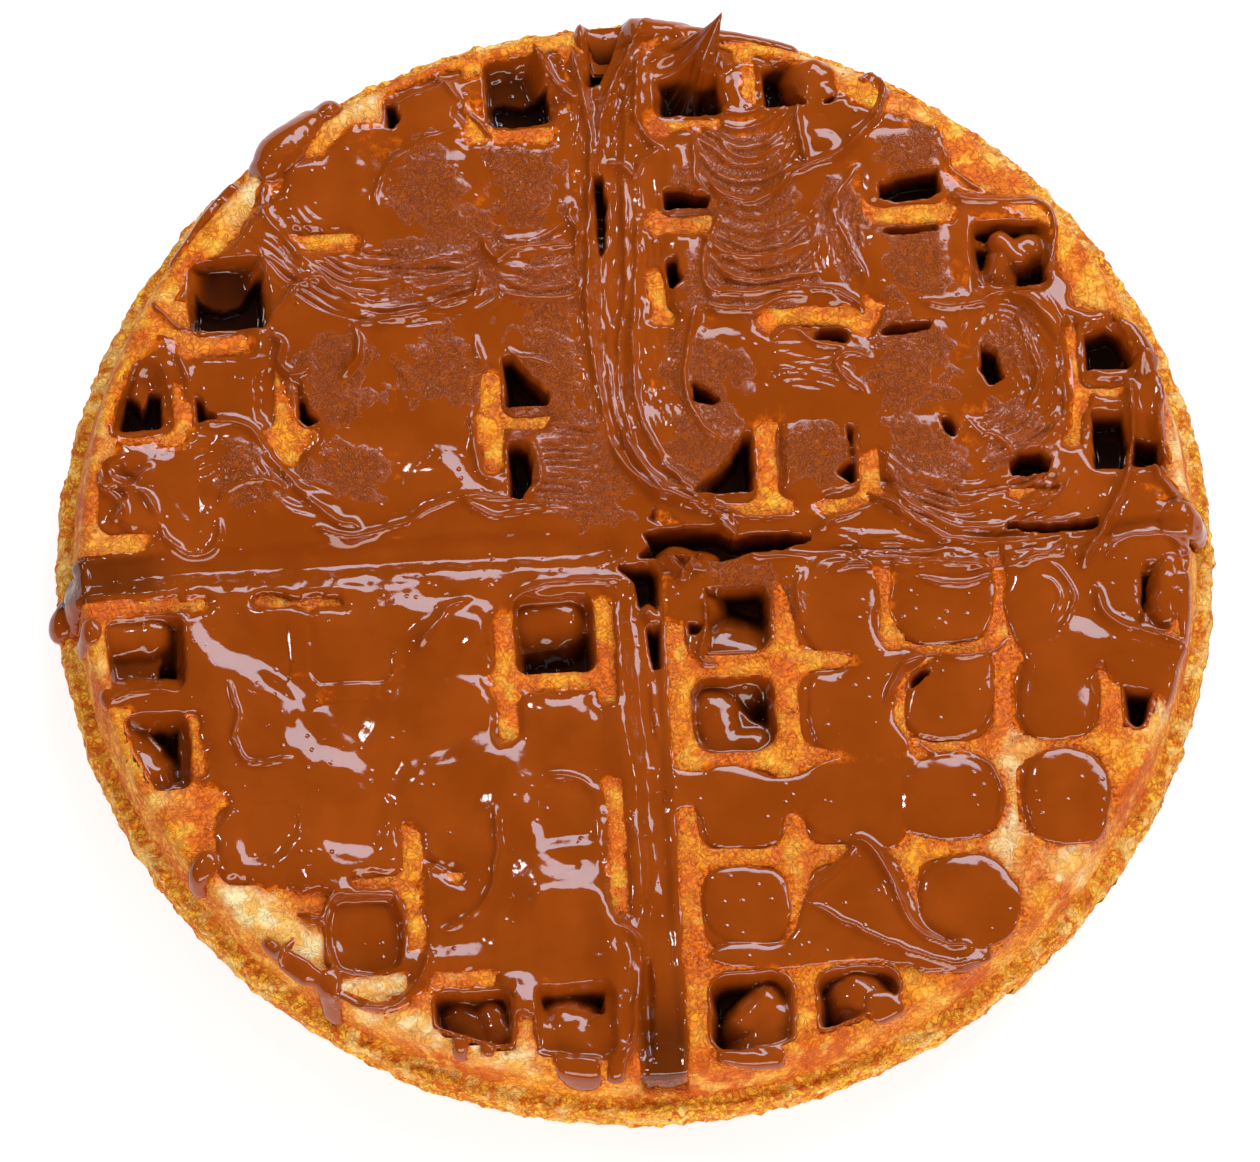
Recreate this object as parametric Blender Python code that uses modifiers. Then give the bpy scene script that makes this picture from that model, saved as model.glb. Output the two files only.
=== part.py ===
"""A round, thick waffle of four quarters, spread with soft chocolate.

Two solids: the baked waffle, with its pockets and its dividing cross on both faces, and the chocolate
that lies on it, fills most of the top pockets, runs along the cross and hangs over the rim in places.
Everything is in metres, +Z is up, and the origin is the centre of the face that the waffle rests on.
"""

import math

import bmesh
import bpy
from mathutils import Matrix, Vector

# --- Driving dimensions -------------------------------------------------------------------------
THICKNESS = 0.022  # from the lower lattice to the upper one
TOP_RADIUS = 0.089  # the upper face, edge rounding included
EDGE_ROUND = 0.0016  # rounding where each face turns down into the side
WALL_DRAFT = 0.0012  # how far each side wall leans out towards the seam
WALL_HEIGHT = 0.0080  # upper side wall, from the face down to the seam
FLANGE_OUT = 0.0028  # how far the batter that rose between the irons stands out of the wall
FLANGE_BASE = 0.0060  # height of the lower edge of that batter
SIDE_STEPS = 60  # facets round the rim

POCKETS_PER_SIDE = 5  # rows and columns of pockets in each quarter
POCKET_FIRST = 0.0136  # centre of the first row, from the middle of the cross
POCKET_PITCH = 0.0164
POCKET_MOUTH = 0.0124  # side of the pocket at the face
POCKET_FLOOR = 0.0102  # side of the pocket at its floor
POCKET_DEPTH = 0.0080
POCKET_REACH = 0.0870  # a pocket exists if its centre is nearer than this
LOOSE_STRETCH = 1.050  # the quarter towards +X and -Y is a little wider than the others
LOOSE_SHIFT = 0.0016  # and its rows, but for the outermost, lie nearer to the cross
RIM_WALL = 0.0030  # crust left between the outer pockets and the side

CROSS_MOUTH = 0.0072  # width of the dividing cross at the face
CROSS_FLOOR = 0.0048
CROSS_DEPTH = 0.0070

GAP = 0.0003  # clearance between the chocolate and the waffle
FILM = 0.0013  # thickness of the chocolate over the lattice
FILM_SAG = 0.0006  # how far it sinks over each pocket
OPENING_REACH = 0.0840  # the mouths of open pockets stop here, inside the film's edge
FILM_CELLS = 22  # cells across the film's top
OVER = 0.020  # how far cutters reach past what they cut

# How each pocket is filled: rows outward from the cross, columns outward from it.
# F is full, p is partly open, o is open, and s is full and stands alone, clear of the film.
FILL = {
    (-1, 1): ("pFFFF", "pFFFo", "FFFo", "FFF", "oF"),
    (1, 1): ("pFFFo", "FFFFo", "FFFo", "FFF", "oo"),
    (-1, -1): ("pFFFp", "FFFFo", "FFFF", "FFF", "po"),
    (1, -1): ("oFFFF", "pFFFo", "FFFs", "FFs", "po"),
}

# Where the chocolate stops short of the rim: direction in degrees, depth of the bay, half its angle.
SHEET_RADIUS = 0.0868
BARE_BAYS = (
    (-44, 0.0225, 19),
    (-143, 0.0085, 13),
    (-118, 0.0075, 8),
    (38, 0.0080, 14),
    (128, 0.0065, 7),
    (151, 0.0060, 9),
    (12, 0.0065, 9),
    (-72, 0.0040, 9),
)

# Patches of lattice that the chocolate leaves bare: centre, length along X, length along Y.
BARE_PATCHES = (
    (-0.0570, 0.0240, 0.0050, 0.0110),
    (-0.0218, 0.0235, 0.0036, 0.0080),
    (-0.0464, 0.0552, 0.0080, 0.0030),
    (0.0120, 0.0552, 0.0080, 0.0034),
    (0.0320, 0.0384, 0.0120, 0.0028),
    (0.0220, 0.0120, 0.0034, 0.0090),
    (0.0464, 0.0550, 0.0100, 0.0030),
    (-0.0218, -0.0140, 0.0034, 0.0110),
    (-0.0136, -0.0216, 0.0100, 0.0030),
    (-0.0440, -0.0530, 0.0110, 0.0030),
    (0.0230, -0.0250, 0.0036, 0.0130),
    (0.0575, -0.0290, 0.0036, 0.0150),
    (0.0140, -0.0366, 0.0110, 0.0032),
    (0.0150, -0.0530, 0.0120, 0.0034),
    (0.0480, -0.0366, 0.0110, 0.0032),
)

# Chocolate over the rim: direction in degrees, half its width, and how far down the side it hangs.
DRIPS = (
    (-90, 0.0038, 0.0095),
    (-178, 0.0042, 0.0120),
    (-0.5, 0.0034, 0.0085),
    (124, 0.0046, 0.0080),
    (-125, 0.0026, 0.0085),
    (-100, 0.0042, 0.0040),
    (86, 0.0050, 0.0060),
)

# Where the filled cross is torn open: centre, length along X, length along Y, depth below the face.
CROSS_HOLES = (
    (0.0110, 0.0012, 0.0190, 0.0036, 0.0050),
    (0.0020, -0.0060, 0.0034, 0.0060, 0.0045),
)

# Ridges that the knife left: points on the face, and the radius of the bead.
RIDGES = (
    (0.0013, (-0.0045, 0.0830), (-0.0035, 0.0550), (-0.0050, 0.0330), (0.0000, 0.0140), (0.0130, 0.0050)),
    (0.0010, (0.0440, 0.0740), (0.0425, 0.0680), (0.0360, 0.0640), (0.0300, 0.0625)),
    (0.0010, (0.0140, 0.0640), (0.0145, 0.0590), (0.0200, 0.0575), (0.0270, 0.0600)),
    (0.0010, (0.0480, 0.0400), (0.0620, 0.0385), (0.0700, 0.0290), (0.0700, 0.0160), (0.0620, 0.0140)),
    (0.0011, (0.0400, 0.0060), (0.0500, -0.0020), (0.0640, -0.0040), (0.0730, 0.0040), (0.0800, 0.0120)),
    (0.0010, (-0.0500, 0.0420), (-0.0350, 0.0400), (-0.0230, 0.0440)),
    (0.0010, (-0.0700, 0.0030), (-0.0480, 0.0050), (-0.0300, 0.0080), (-0.0180, 0.0090)),
    (0.0010, (0.0250, -0.0380), (0.0300, -0.0500), (0.0340, -0.0580), (0.0360, -0.0640)),
    (0.0010, (-0.0480, -0.0740), (-0.0400, -0.0730), (-0.0360, -0.0660)),
)

# Peaks pulled up by the knife: foot, tip (height above the face), and the foot's radius.
PEAKS = (
    ((0.0125, 0.0785), (0.0185, 0.0865, 0.0125), 0.0046),
    ((0.0795, 0.0216), (0.0825, 0.0240, 0.0055), 0.0028),
    ((0.0715, 0.0160), (0.0730, 0.0185, 0.0050), 0.0026),
    ((0.0305, 0.0650), (0.0303, 0.0740, 0.0040), 0.0024),
)

WAFFLE_COLOUR = (0.62, 0.30, 0.09, 1.0)
CHOCOLATE_COLOUR = (0.22, 0.060, 0.012, 1.0)


# --- Small tools --------------------------------------------------------------------------------
def clear_scene():
    for thing in list(bpy.data.objects):
        bpy.data.objects.remove(thing, do_unlink=True)


def collection(name, helper=False):
    made = bpy.data.collections.new(name)
    made.hide_render = helper
    bpy.context.scene.collection.children.link(made)
    return made


def object_of(name, mesh, home):
    thing = bpy.data.objects.new(name, mesh)
    home.objects.link(thing)
    if home.hide_render:
        thing.hide_render = True
        thing.display_type = "WIRE"
    return thing


def mesh_of(name, bm):
    bm.normal_update()
    bmesh.ops.recalc_face_normals(bm, faces=bm.faces)
    mesh = bpy.data.meshes.new(name)
    bm.to_mesh(mesh)
    bm.free()
    return mesh


def boolean(target, other, operation):
    """Cut or join by one object, or by all the objects of a collection at once."""
    modifier = target.modifiers.new(other.name, "BOOLEAN")
    modifier.operation = operation
    modifier.solver = "EXACT"
    if isinstance(other, bpy.types.Collection):
        modifier.operand_type = "COLLECTION"
        modifier.collection = other
    else:
        modifier.object = other


def material(name, colour, roughness):
    made = bpy.data.materials.new(name)
    made.use_nodes = True
    shader = made.node_tree.nodes["Principled BSDF"]
    shader.inputs["Base Color"].default_value = colour
    shader.inputs["Roughness"].default_value = roughness
    shader.inputs["Metallic"].default_value = 0.0
    return made


def smooth(thing, angle):
    thing.data.shade_smooth()
    thing.data.set_sharp_from_angle(angle=math.radians(angle))


# --- The waffle ---------------------------------------------------------------------------------
def quarter_arc(centre, radius, start, end, steps):
    """Points on an arc about (radius from the axis, height), angles in degrees from the +X direction."""
    for k in range(steps + 1):
        angle = math.radians(start + (end - start) * k / steps)
        yield (centre[0] + radius * math.cos(angle), centre[1] + radius * math.sin(angle))


def side_profile(grow=0.0):
    """The turned outline from the middle of the top to the middle of the base, grown outward by grow."""
    face_radius = TOP_RADIUS - EDGE_ROUND
    wall = TOP_RADIUS + WALL_DRAFT
    flange_top = THICKNESS - WALL_HEIGHT
    flange_base = FLANGE_BASE
    flange_mid = 0.45 * flange_top + 0.55 * flange_base
    points = [(0.0, THICKNESS + grow)]
    points += quarter_arc((face_radius, THICKNESS - EDGE_ROUND), EDGE_ROUND + grow, 90, 8, 2)
    points += [
        (wall + grow, flange_top + 0.0003),
        (wall + FLANGE_OUT * 0.80 + grow, flange_top - 0.0012 + grow),
        (wall + FLANGE_OUT + grow, flange_mid),
        (wall + FLANGE_OUT * 0.85 + grow, flange_base + 0.0010 - grow),
        (wall + grow, flange_base - 0.0004 - grow),
    ]
    points += quarter_arc((face_radius, EDGE_ROUND), EDGE_ROUND + grow, -8, -90, 2)
    points += [(0.0, -grow)]
    return points


def turned(name, profile, home):
    """A closed body of revolution about Z from a profile that runs top to bottom on its outer side."""
    mesh = bpy.data.meshes.new(name)
    edges = [(k, k + 1) for k in range(len(profile) - 1)]
    mesh.from_pydata([(radius, 0.0, height) for radius, height in profile], edges, [])
    thing = object_of(name, mesh, home)
    screw = thing.modifiers.new("turn", "SCREW")
    screw.axis = "Z"
    screw.steps = SIDE_STEPS
    screw.render_steps = SIDE_STEPS
    screw.use_merge_vertices = True
    screw.merge_threshold = 0.00001
    screw.use_smooth_shade = False
    return thing


def pocket_centres():
    """Every pocket as (east or west, north or south, column, row, centre)."""
    for sx in (-1, 1):
        for sy in (-1, 1):
            for column in range(POCKETS_PER_SIDE):
                for row in range(POCKETS_PER_SIDE):
                    x = sx * (POCKET_FIRST + POCKET_PITCH * column)
                    y = sy * (POCKET_FIRST + POCKET_PITCH * row)
                    if math.hypot(x, y) >= POCKET_REACH:
                        continue
                    if (sx, sy) == (1, -1):
                        x *= LOOSE_STRETCH
                        y += LOOSE_SHIFT if row < POCKETS_PER_SIDE - 1 else 0.0
                    yield sx, sy, column, row, Vector((x, y))


def drawn_in(point, anchor, limit):
    """The point, moved straight towards the anchor until it lies within the limit radius."""
    way = point - anchor
    square, middle = way.dot(way), anchor.dot(way)
    short = math.sqrt(middle**2 - square * (anchor.dot(anchor) - limit**2)) - middle
    return anchor + way * min(1.0, short / square)


def ring(centre, side, height, limit):
    """A square outline; where it would pass the limit radius it is drawn in to follow it."""
    half = side / 2
    inner = centre - Vector((math.copysign(half, centre.x), math.copysign(half, centre.y)))
    corners = [(half, -half), (half, half), (-half, half), (-half, -half)]
    corners = [centre + Vector(corner) for corner in corners]
    past_rim = centre.length + POCKET_MOUTH / math.sqrt(2) > limit - 0.0004
    steps = 2 if past_rim else 1
    points = []
    for start, end in zip(corners, corners[1:] + corners[:1]):
        for k in range(steps):
            point = start.lerp(end, k / steps)
            if point.length > limit:
                point = drawn_in(point, inner, limit)
            points.append((point.x, point.y, height))
    return points


def add_frustum(bm, centre, low, high, side_low, side_high, limit):
    """A square frustum between two heights, its sides along X and Y, kept inside the limit radius."""
    lower = [bm.verts.new(p) for p in ring(centre, side_low, low, limit)]
    upper = [bm.verts.new(p) for p in ring(centre, side_high, high, limit)]
    bm.faces.new(lower)
    bm.faces.new(upper)
    walls = []
    for k in range(len(lower)):
        after = (k + 1) % len(lower)
        walls.append(bm.faces.new((lower[k], lower[after], upper[after], upper[k])))
    if len(walls) > 4:  # drawn in along the rim, where the walls aren't flat
        bmesh.ops.triangulate(bm, faces=walls)


def add_block(bm, centre, size):
    """A box by its centre and its three sizes."""
    matrix = Matrix.Translation(centre) @ Matrix.Diagonal((*size, 1.0))
    bmesh.ops.create_cube(bm, size=1.0, matrix=matrix)


def cutter_mesh(name, home, upper):
    """All the pockets of one face as frustums that reach past it, kept inside the rim's crust."""
    slope = (POCKET_MOUTH - POCKET_FLOOR) / POCKET_DEPTH
    past = 0.002
    wide = POCKET_MOUTH + slope * past
    limit = TOP_RADIUS - RIM_WALL
    bm = bmesh.new()
    for *_, centre in pocket_centres():
        if upper:
            add_frustum(bm, centre, THICKNESS - POCKET_DEPTH, THICKNESS + past, POCKET_FLOOR, wide, limit)
        else:
            add_frustum(bm, centre, -past, POCKET_DEPTH, wide, POCKET_FLOOR, limit)
    return object_of(name, mesh_of(name, bm), home)


def bar(name, home, upper, along_x, inset=0.0, reach=TOP_RADIUS + OVER, past=0.002):
    """One arm of the cross: a prism whose section widens towards the face."""
    slope = (CROSS_MOUTH - CROSS_FLOOR) / CROSS_DEPTH
    narrow, wide = CROSS_FLOOR - 2 * inset, CROSS_MOUTH - 2 * inset + slope * past
    deep, out = THICKNESS - CROSS_DEPTH + inset, THICKNESS + past
    if not upper:
        deep, out = CROSS_DEPTH, -past
    bm = bmesh.new()
    add_block(bm, (0, 0, 0), (1, 1, 1))
    for vert in bm.verts:
        outer = vert.co.z > 0
        width = wide if outer else narrow
        vert.co = Vector((vert.co.x * 2 * reach, vert.co.y * width, out if outer else deep))
        if not along_x:
            vert.co = Vector((-vert.co.y, vert.co.x, vert.co.z))
    return object_of(name, mesh_of(name, bm), home)


def build_waffle(home, helpers):
    waffle = turned("waffle", side_profile(), home)
    for face, upper in (("top", True), ("base", False)):
        boolean(waffle, cutter_mesh(f"pockets_{face}", helpers, upper), "DIFFERENCE")
        for axis, along_x in (("x", True), ("y", False)):
            boolean(waffle, bar(f"cross_{face}_{axis}", helpers, upper, along_x), "DIFFERENCE")
    smooth(waffle, 30)
    waffle.data.materials.append(material("baked_batter", WAFFLE_COLOUR, 0.62))


# --- The chocolate ------------------------------------------------------------------------------
def film_height(x, y):
    """Top of the film: it sinks over every pocket and swells a little between them."""
    if x > 0 > y:
        x, y = x / LOOSE_STRETCH, y - LOOSE_SHIFT
    phase_x = (abs(x) - POCKET_FIRST) / POCKET_PITCH
    phase_y = (abs(y) - POCKET_FIRST) / POCKET_PITCH
    over_pocket = math.cos(math.tau * phase_x) * math.cos(math.tau * phase_y)
    swell = 0.3 * math.sin(x * 95 + 1.3) * math.sin(y * 80 + 0.4)
    return THICKNESS + GAP + FILM - FILM_SAG * (over_pocket + swell) / 1.3


def sheet_radius(angle):
    """How far the chocolate reaches in a direction, with a bay wherever the crust is bare."""
    radius = SHEET_RADIUS + 0.0008 * math.sin(9 * angle) + 0.0006 * math.sin(23 * angle + 1)
    for direction, depth, half in BARE_BAYS:
        away = math.remainder(angle - math.radians(direction), math.tau)
        radius -= depth * math.exp(-((away / math.radians(half)) ** 2))
    return radius


def build_sheet(home, helpers):
    """The film over the top: a waved slab, trimmed to the outline that the knife left."""
    bm = bmesh.new()
    bmesh.ops.create_grid(bm, x_segments=FILM_CELLS, y_segments=FILM_CELLS, size=TOP_RADIUS + 0.003)
    for vert in bm.verts:
        vert.co.z = film_height(vert.co.x, vert.co.y)
    top = list(bm.faces)
    lowered = bmesh.ops.extrude_face_region(bm, geom=top)["geom"]
    for vert in (item for item in lowered if isinstance(item, bmesh.types.BMVert)):
        vert.co.z = THICKNESS - 0.002
    bmesh.ops.triangulate(bm, faces=bm.faces)
    sheet = object_of("chocolate_spread", mesh_of("chocolate_spread", bm), home)

    bm = bmesh.new()
    bmesh.ops.create_cone(
        bm,
        cap_ends=True,
        segments=72,
        radius1=1.0,
        radius2=1.0,
        depth=OVER,
        matrix=Matrix.Translation((0, 0, THICKNESS)),
    )
    for vert in bm.verts:
        radius = sheet_radius(math.atan2(vert.co.y, vert.co.x))
        flat = Vector((vert.co.x, vert.co.y)).normalized() * radius
        vert.co.x, vert.co.y = flat
    outline = object_of("sheet_outline", mesh_of("sheet_outline", bm), helpers)
    boolean(sheet, outline, "INTERSECT")
    return sheet


def mesh_from_curve(name, curve_object, home):
    """The closed mesh of a curve, with its caps welded, so that a Boolean can take it."""
    bpy.context.view_layer.update()
    graph = bpy.context.evaluated_depsgraph_get()
    mesh = bpy.data.meshes.new_from_object(curve_object.evaluated_get(graph))
    bm = bmesh.new()
    bm.from_mesh(mesh)
    bmesh.ops.remove_doubles(bm, verts=bm.verts, dist=0.000001)
    bmesh.ops.triangulate(bm, faces=bm.faces)
    bmesh.ops.recalc_face_normals(bm, faces=bm.faces)
    bm.to_mesh(mesh)
    bm.free()
    mesh.name = name
    thing = object_of(name, mesh, home)
    thing.matrix_world = curve_object.matrix_world
    bpy.data.objects.remove(curve_object, do_unlink=True)
    return thing


def bead(name, points, radius, home, taper=1.0):
    """A round bead of chocolate along a smooth line through the points, thinner towards its end."""
    curve = bpy.data.curves.new(name, "CURVE")
    curve.dimensions = "3D"
    curve.bevel_depth = radius
    curve.bevel_resolution = 1
    curve.use_fill_caps = True
    line = smooth_line(points, 2)
    spline = curve.splines.new("POLY")
    spline.points.add(len(line) - 1)
    for k, point in enumerate(line):
        spline.points[k].co = (*point, 1.0)
        spline.points[k].radius = 1.0 + (taper - 1.0) * k / (len(line) - 1)
    thing = bpy.data.objects.new(name, curve)
    home.objects.link(thing)
    return mesh_from_curve(name + "_mesh", thing, home)


def smooth_line(points, steps):
    """Points of a Catmull-Rom curve through the given ones."""
    points = [Vector(p) for p in points]
    ends = [2 * points[0] - points[1], *points, 2 * points[-1] - points[-2]]
    line = []
    for a, b, c, d in zip(ends, ends[1:], ends[2:], ends[3:]):
        for k in range(steps):
            t = k / steps
            line.append(
                0.5 * (2 * b + (c - a) * t + (2 * a - 5 * b + 4 * c - d) * t**2 + (3 * b - a - 3 * c + d) * t**3)
            )
    return [*line, points[-1]]


def build_drip(index, direction, half_width, drop, helpers):
    """A tongue of chocolate that comes off the face, over the rim and down the side."""
    angle = math.radians(direction)
    out = Vector((math.cos(angle), math.sin(angle), 0))
    up = Vector((0, 0, 1))
    wall = TOP_RADIUS + WALL_DRAFT
    steps = (
        (TOP_RADIUS - 0.0090, THICKNESS + 0.0004),
        (TOP_RADIUS - 0.0030, THICKNESS + 0.0006),
        (wall - 0.0010, THICKNESS - 0.0012),
        (wall - 0.0002, THICKNESS - 0.0030 - drop * 0.3),
        (wall + (FLANGE_OUT * 0.9 if drop > 0.0075 else 0), THICKNESS - drop),
    )
    points = [out * radius + up * height for radius, height in steps]
    return bead(f"drip_{index}", points, half_width, helpers, taper=0.55)


def build_peak(index, foot, tip, radius, helpers):
    """A peak: a cone pulled up and over by the knife."""
    base = Vector((foot[0], foot[1], THICKNESS + GAP + FILM * 0.5))
    end = Vector((tip[0], tip[1], THICKNESS + tip[2]))
    middle = base.lerp(end, 0.45) + Vector((0, 0, -0.0006))
    return bead(f"peak_{index}", (base, middle, end), radius, helpers, taper=0.08)


def add_plug(bm, centre, top):
    """The chocolate in one pocket, up to a height above the face, clear of the walls and the floor."""
    slope = (POCKET_MOUTH - POCKET_FLOOR) / POCKET_DEPTH
    floor = POCKET_FLOOR - 2.4 * GAP
    mouth = POCKET_MOUTH - 2.4 * GAP + slope * top
    limit = TOP_RADIUS - RIM_WALL - 1.2 * GAP
    add_frustum(bm, centre, THICKNESS - POCKET_DEPTH + GAP, THICKNESS + top, floor, mouth, limit)


def build_plugs(helpers):
    """The chocolate in every pocket that the film runs over."""
    bm = bmesh.new()
    for sx, sy, column, row, centre in pocket_centres():
        if FILL[sx, sy][row][column] in "Fp":
            add_plug(bm, centre, GAP + FILM * 0.4)
    return object_of("pocket_fill", mesh_of("pocket_fill", bm), helpers)


def build_pools(home, shared):
    """The chocolate in each pocket that stands alone, with a rounded upper edge."""
    number = 0
    for sx, sy, column, row, centre in pocket_centres():
        if FILL[sx, sy][row][column] == "s":
            number += 1
            bm = bmesh.new()
            add_plug(bm, centre, -0.0004)
            pool = object_of(f"chocolate_pool_{number}", mesh_of(f"chocolate_pool_{number}", bm), home)
            bevel = pool.modifiers.new("soft_edges", "BEVEL")
            bevel.width = 0.0012
            bevel.segments = 2
            bevel.limit_method = "ANGLE"
            pool.data.materials.append(shared)


def build_openings(helpers):
    """What is cut out of the film: the mouths of the open pockets, and the bare lattice."""
    low, high = THICKNESS - 0.001, THICKNESS + OVER
    side = POCKET_MOUTH - 0.0006
    bm = bmesh.new()
    for sx, sy, column, row, centre in pocket_centres():
        if FILL[sx, sy][row][column] == "o":
            add_frustum(bm, centre, low, high, side, side, OPENING_REACH)
    for x, y, along_x, along_y in BARE_PATCHES:
        place = Matrix.Translation((x, y, (low + high) / 2))
        bmesh.ops.create_cone(
            bm,
            cap_ends=True,
            segments=8,
            radius1=0.5,
            radius2=0.5,
            depth=high - low,
            matrix=place @ Matrix.Diagonal((along_x, along_y, 1.0, 1.0)),
        )
    return object_of("film_openings", mesh_of("film_openings", bm), helpers)


def build_hollows(helpers):
    """Where the fill is torn open: the front half of some pockets, and the middle of the cross."""
    high = THICKNESS + OVER
    bm = bmesh.new()
    for sx, sy, column, row, centre in pocket_centres():
        if FILL[sx, sy][row][column] == "p":
            low = THICKNESS - 0.0045
            place = (centre.x, centre.y - 0.20 * POCKET_MOUTH, (low + high) / 2)
            add_block(bm, place, (POCKET_MOUTH * 0.72, POCKET_MOUTH * 0.36, high - low))
    for x, y, along_x, along_y, depth in CROSS_HOLES:
        low = THICKNESS - depth
        add_block(bm, (x, y, (low + high) / 2), (along_x, along_y, high - low))
    return object_of("hollows", mesh_of("hollows", bm), helpers)


def build_chocolate(home, helpers):
    spread = build_sheet(home, helpers)
    boolean(spread, build_openings(helpers), "DIFFERENCE")
    beads = collection("beads", helper=True)
    for index, (radius, *points) in enumerate(RIDGES):
        height = THICKNESS + GAP + FILM
        bead(f"ridge_{index}", [(x, y, height) for x, y in points], radius, beads, taper=0.5)
    for index, (direction, half_width, drop) in enumerate(DRIPS):
        build_drip(index, direction, half_width, drop, beads)
    for index, (foot, tip, radius) in enumerate(PEAKS):
        build_peak(index, foot, tip, radius, beads)
    boolean(spread, beads, "UNION")
    boolean(spread, turned("clearance", side_profile(grow=GAP), helpers), "DIFFERENCE")
    fills = collection("fills", helper=True)
    build_plugs(fills)
    for axis, along_x in (("x", True), ("y", False)):
        bar(f"cross_fill_{axis}", fills, True, along_x, GAP, TOP_RADIUS, GAP + FILM * 0.5)
    boolean(spread, fills, "UNION")
    boolean(spread, build_hollows(helpers), "DIFFERENCE")
    smooth(spread, 40)
    chocolate = material("chocolate", CHOCOLATE_COLOUR, 0.25)
    spread.data.materials.append(chocolate)
    build_pools(home, chocolate)


def main():
    clear_scene()
    home = collection("round_waffle")
    helpers = collection("cutters", helper=True)
    build_waffle(home, helpers)
    build_chocolate(home, helpers)


main()
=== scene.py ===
"""Looks of the round waffle with chocolate spread.

The crust and the chocolate are two height fields over one flat plan of the waffle's face, in mm. Past the
face's edge the plan is wrapped down the side, so that chocolate can run over the rim. The places of the
chocolate's pools, folds and knife marks are listed in the plan's millimetres; their shapes come from the
functions below.
"""

import math

import bpy
import numpy as np
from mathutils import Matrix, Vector


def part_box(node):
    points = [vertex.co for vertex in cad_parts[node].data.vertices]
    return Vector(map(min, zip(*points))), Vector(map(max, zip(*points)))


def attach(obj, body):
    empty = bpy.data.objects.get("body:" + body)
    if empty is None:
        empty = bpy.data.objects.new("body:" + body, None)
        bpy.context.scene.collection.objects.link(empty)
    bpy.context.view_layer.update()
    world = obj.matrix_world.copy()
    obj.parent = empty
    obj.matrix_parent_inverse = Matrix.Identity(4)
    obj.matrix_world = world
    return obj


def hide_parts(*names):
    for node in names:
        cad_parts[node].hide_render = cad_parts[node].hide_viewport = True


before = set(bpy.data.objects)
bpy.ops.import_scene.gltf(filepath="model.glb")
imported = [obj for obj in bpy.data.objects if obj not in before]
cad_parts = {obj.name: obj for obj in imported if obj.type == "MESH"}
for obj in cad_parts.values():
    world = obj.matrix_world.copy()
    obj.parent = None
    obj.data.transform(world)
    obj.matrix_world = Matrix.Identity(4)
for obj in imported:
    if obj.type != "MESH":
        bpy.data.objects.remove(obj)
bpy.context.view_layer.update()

# --- Sizes, in mm -------------------------------------------------------------------------------
MM = 0.001
FACE_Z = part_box("waffle")[1][2] / MM  # height of the upper face
BAND_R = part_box("waffle")[1][0] / MM  # outer radius, at the rough band
WALL_R = BAND_R - 2.8  # the smooth side above the band
EDGE_ROUND = 1.6  # radius of the face's rounded edge
FLAT_R = WALL_R - 1.2 - EDGE_ROUND  # the face is flat to here, then wraps down the side
SEAM_Z = FACE_Z - 8.0  # upper edge of the band
BAND_BASE = 6.0  # lower edge of the band
BAND_HALF = 0.5 * (SEAM_Z - BAND_BASE)
SEAM_DEPTH = 0.7  # how far the seam between the side and the band cuts in
SIDE_REACH = 15.9  # how far past the flat face the plan goes, to the middle of the band
PLAN_R = FLAT_R + SIDE_REACH

POCKETS = 5  # in a row, from the cross outwards
FIRST = 13.6  # from the middle of the cross to the first pocket's centre
PITCH = 16.4
HALF_MOUTH = 6.2
POCKET_DEPTH = 8.0
POCKET_REACH = 87.0  # no pocket has its centre farther out
RIM_R = FLAT_R - 1.0  # outer pockets end here
HALF_CROSS = 3.6
CROSS_DEPTH = 7.0

CRUST_SKIN = 0.35  # the chocolate's hidden underside lies this deep in the crust
CHOCOLATE_STEP = 0.31  # spacing of the chocolate's mesh
COAT = 0.45  # chocolate left on the walls of an open pocket
FLOOR_COAT = 0.9  # chocolate left on its floor
DRY = -0.9  # a film thickness that leaves the crust bare
FAR = 9.0  # a distance or a depth out of reach of everything
SLOPE_RISE = 0.185  # height of a step for each mm of its steep side
STREAK_STRETCH = 9.0  # how much longer than wide a knife's streaks are


# --- Noise and smooth steps ---------------------------------------------------------------------
def smoothstep(low, high, value):
    """0 up to the low value and 1 from the high one, with a smooth rise between them."""
    t = np.clip((value - low) / (high - low), 0.0, 1.0)
    return t * t * (3.0 - 2.0 * t)


def mix(a, b, t):
    """a where t is 0, b where it is 1."""
    return a + (b - a) * t


def smooth_max(a, b, width):
    """The larger of two heights, with the crease between them rounded over the width."""
    t = np.clip(0.5 + 0.5 * (b - a) / width, 0.0, 1.0)
    return mix(a, b, t) + width * t * (1.0 - t)


def scrambled(ix, iy, seed):
    """A number in [0, 1) for each pair of whole numbers, always the same one."""
    n = (ix * 374761393 + iy * 668265263 + seed * 974634777) & 0xFFFFFFFF
    n = ((n ^ (n >> 13)) * 1274126177) & 0xFFFFFFFF
    return ((n ^ (n >> 16)) & 0xFFFF) / 65536.0


def noise(x, y, size, seed):
    """Smooth noise of about -1 to 1, whose lumps are about as large as the size."""
    x, y = x / size, y / size
    ix, iy = np.floor(x).astype(np.int64), np.floor(y).astype(np.int64)
    fx, fy = x - ix, y - iy
    u = fx * fx * fx * (fx * (fx * 6 - 15) + 10)
    v = fy * fy * fy * (fy * (fy * 6 - 15) + 10)

    def corner(dx, dy):
        turn = scrambled(ix + dx, iy + dy, seed) * math.tau
        return np.cos(turn) * (fx - dx) + np.sin(turn) * (fy - dy)

    low = mix(corner(0, 0), corner(1, 0), u)
    high = mix(corner(0, 1), corner(1, 1), u)
    return 1.5 * mix(low, high, v)


def rough_noise(x, y, size, seed):
    """Noise with finer and fainter noise on it."""
    return noise(x, y, size, seed) + noise(x, y, size / 2, seed + 17) / 2


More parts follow.
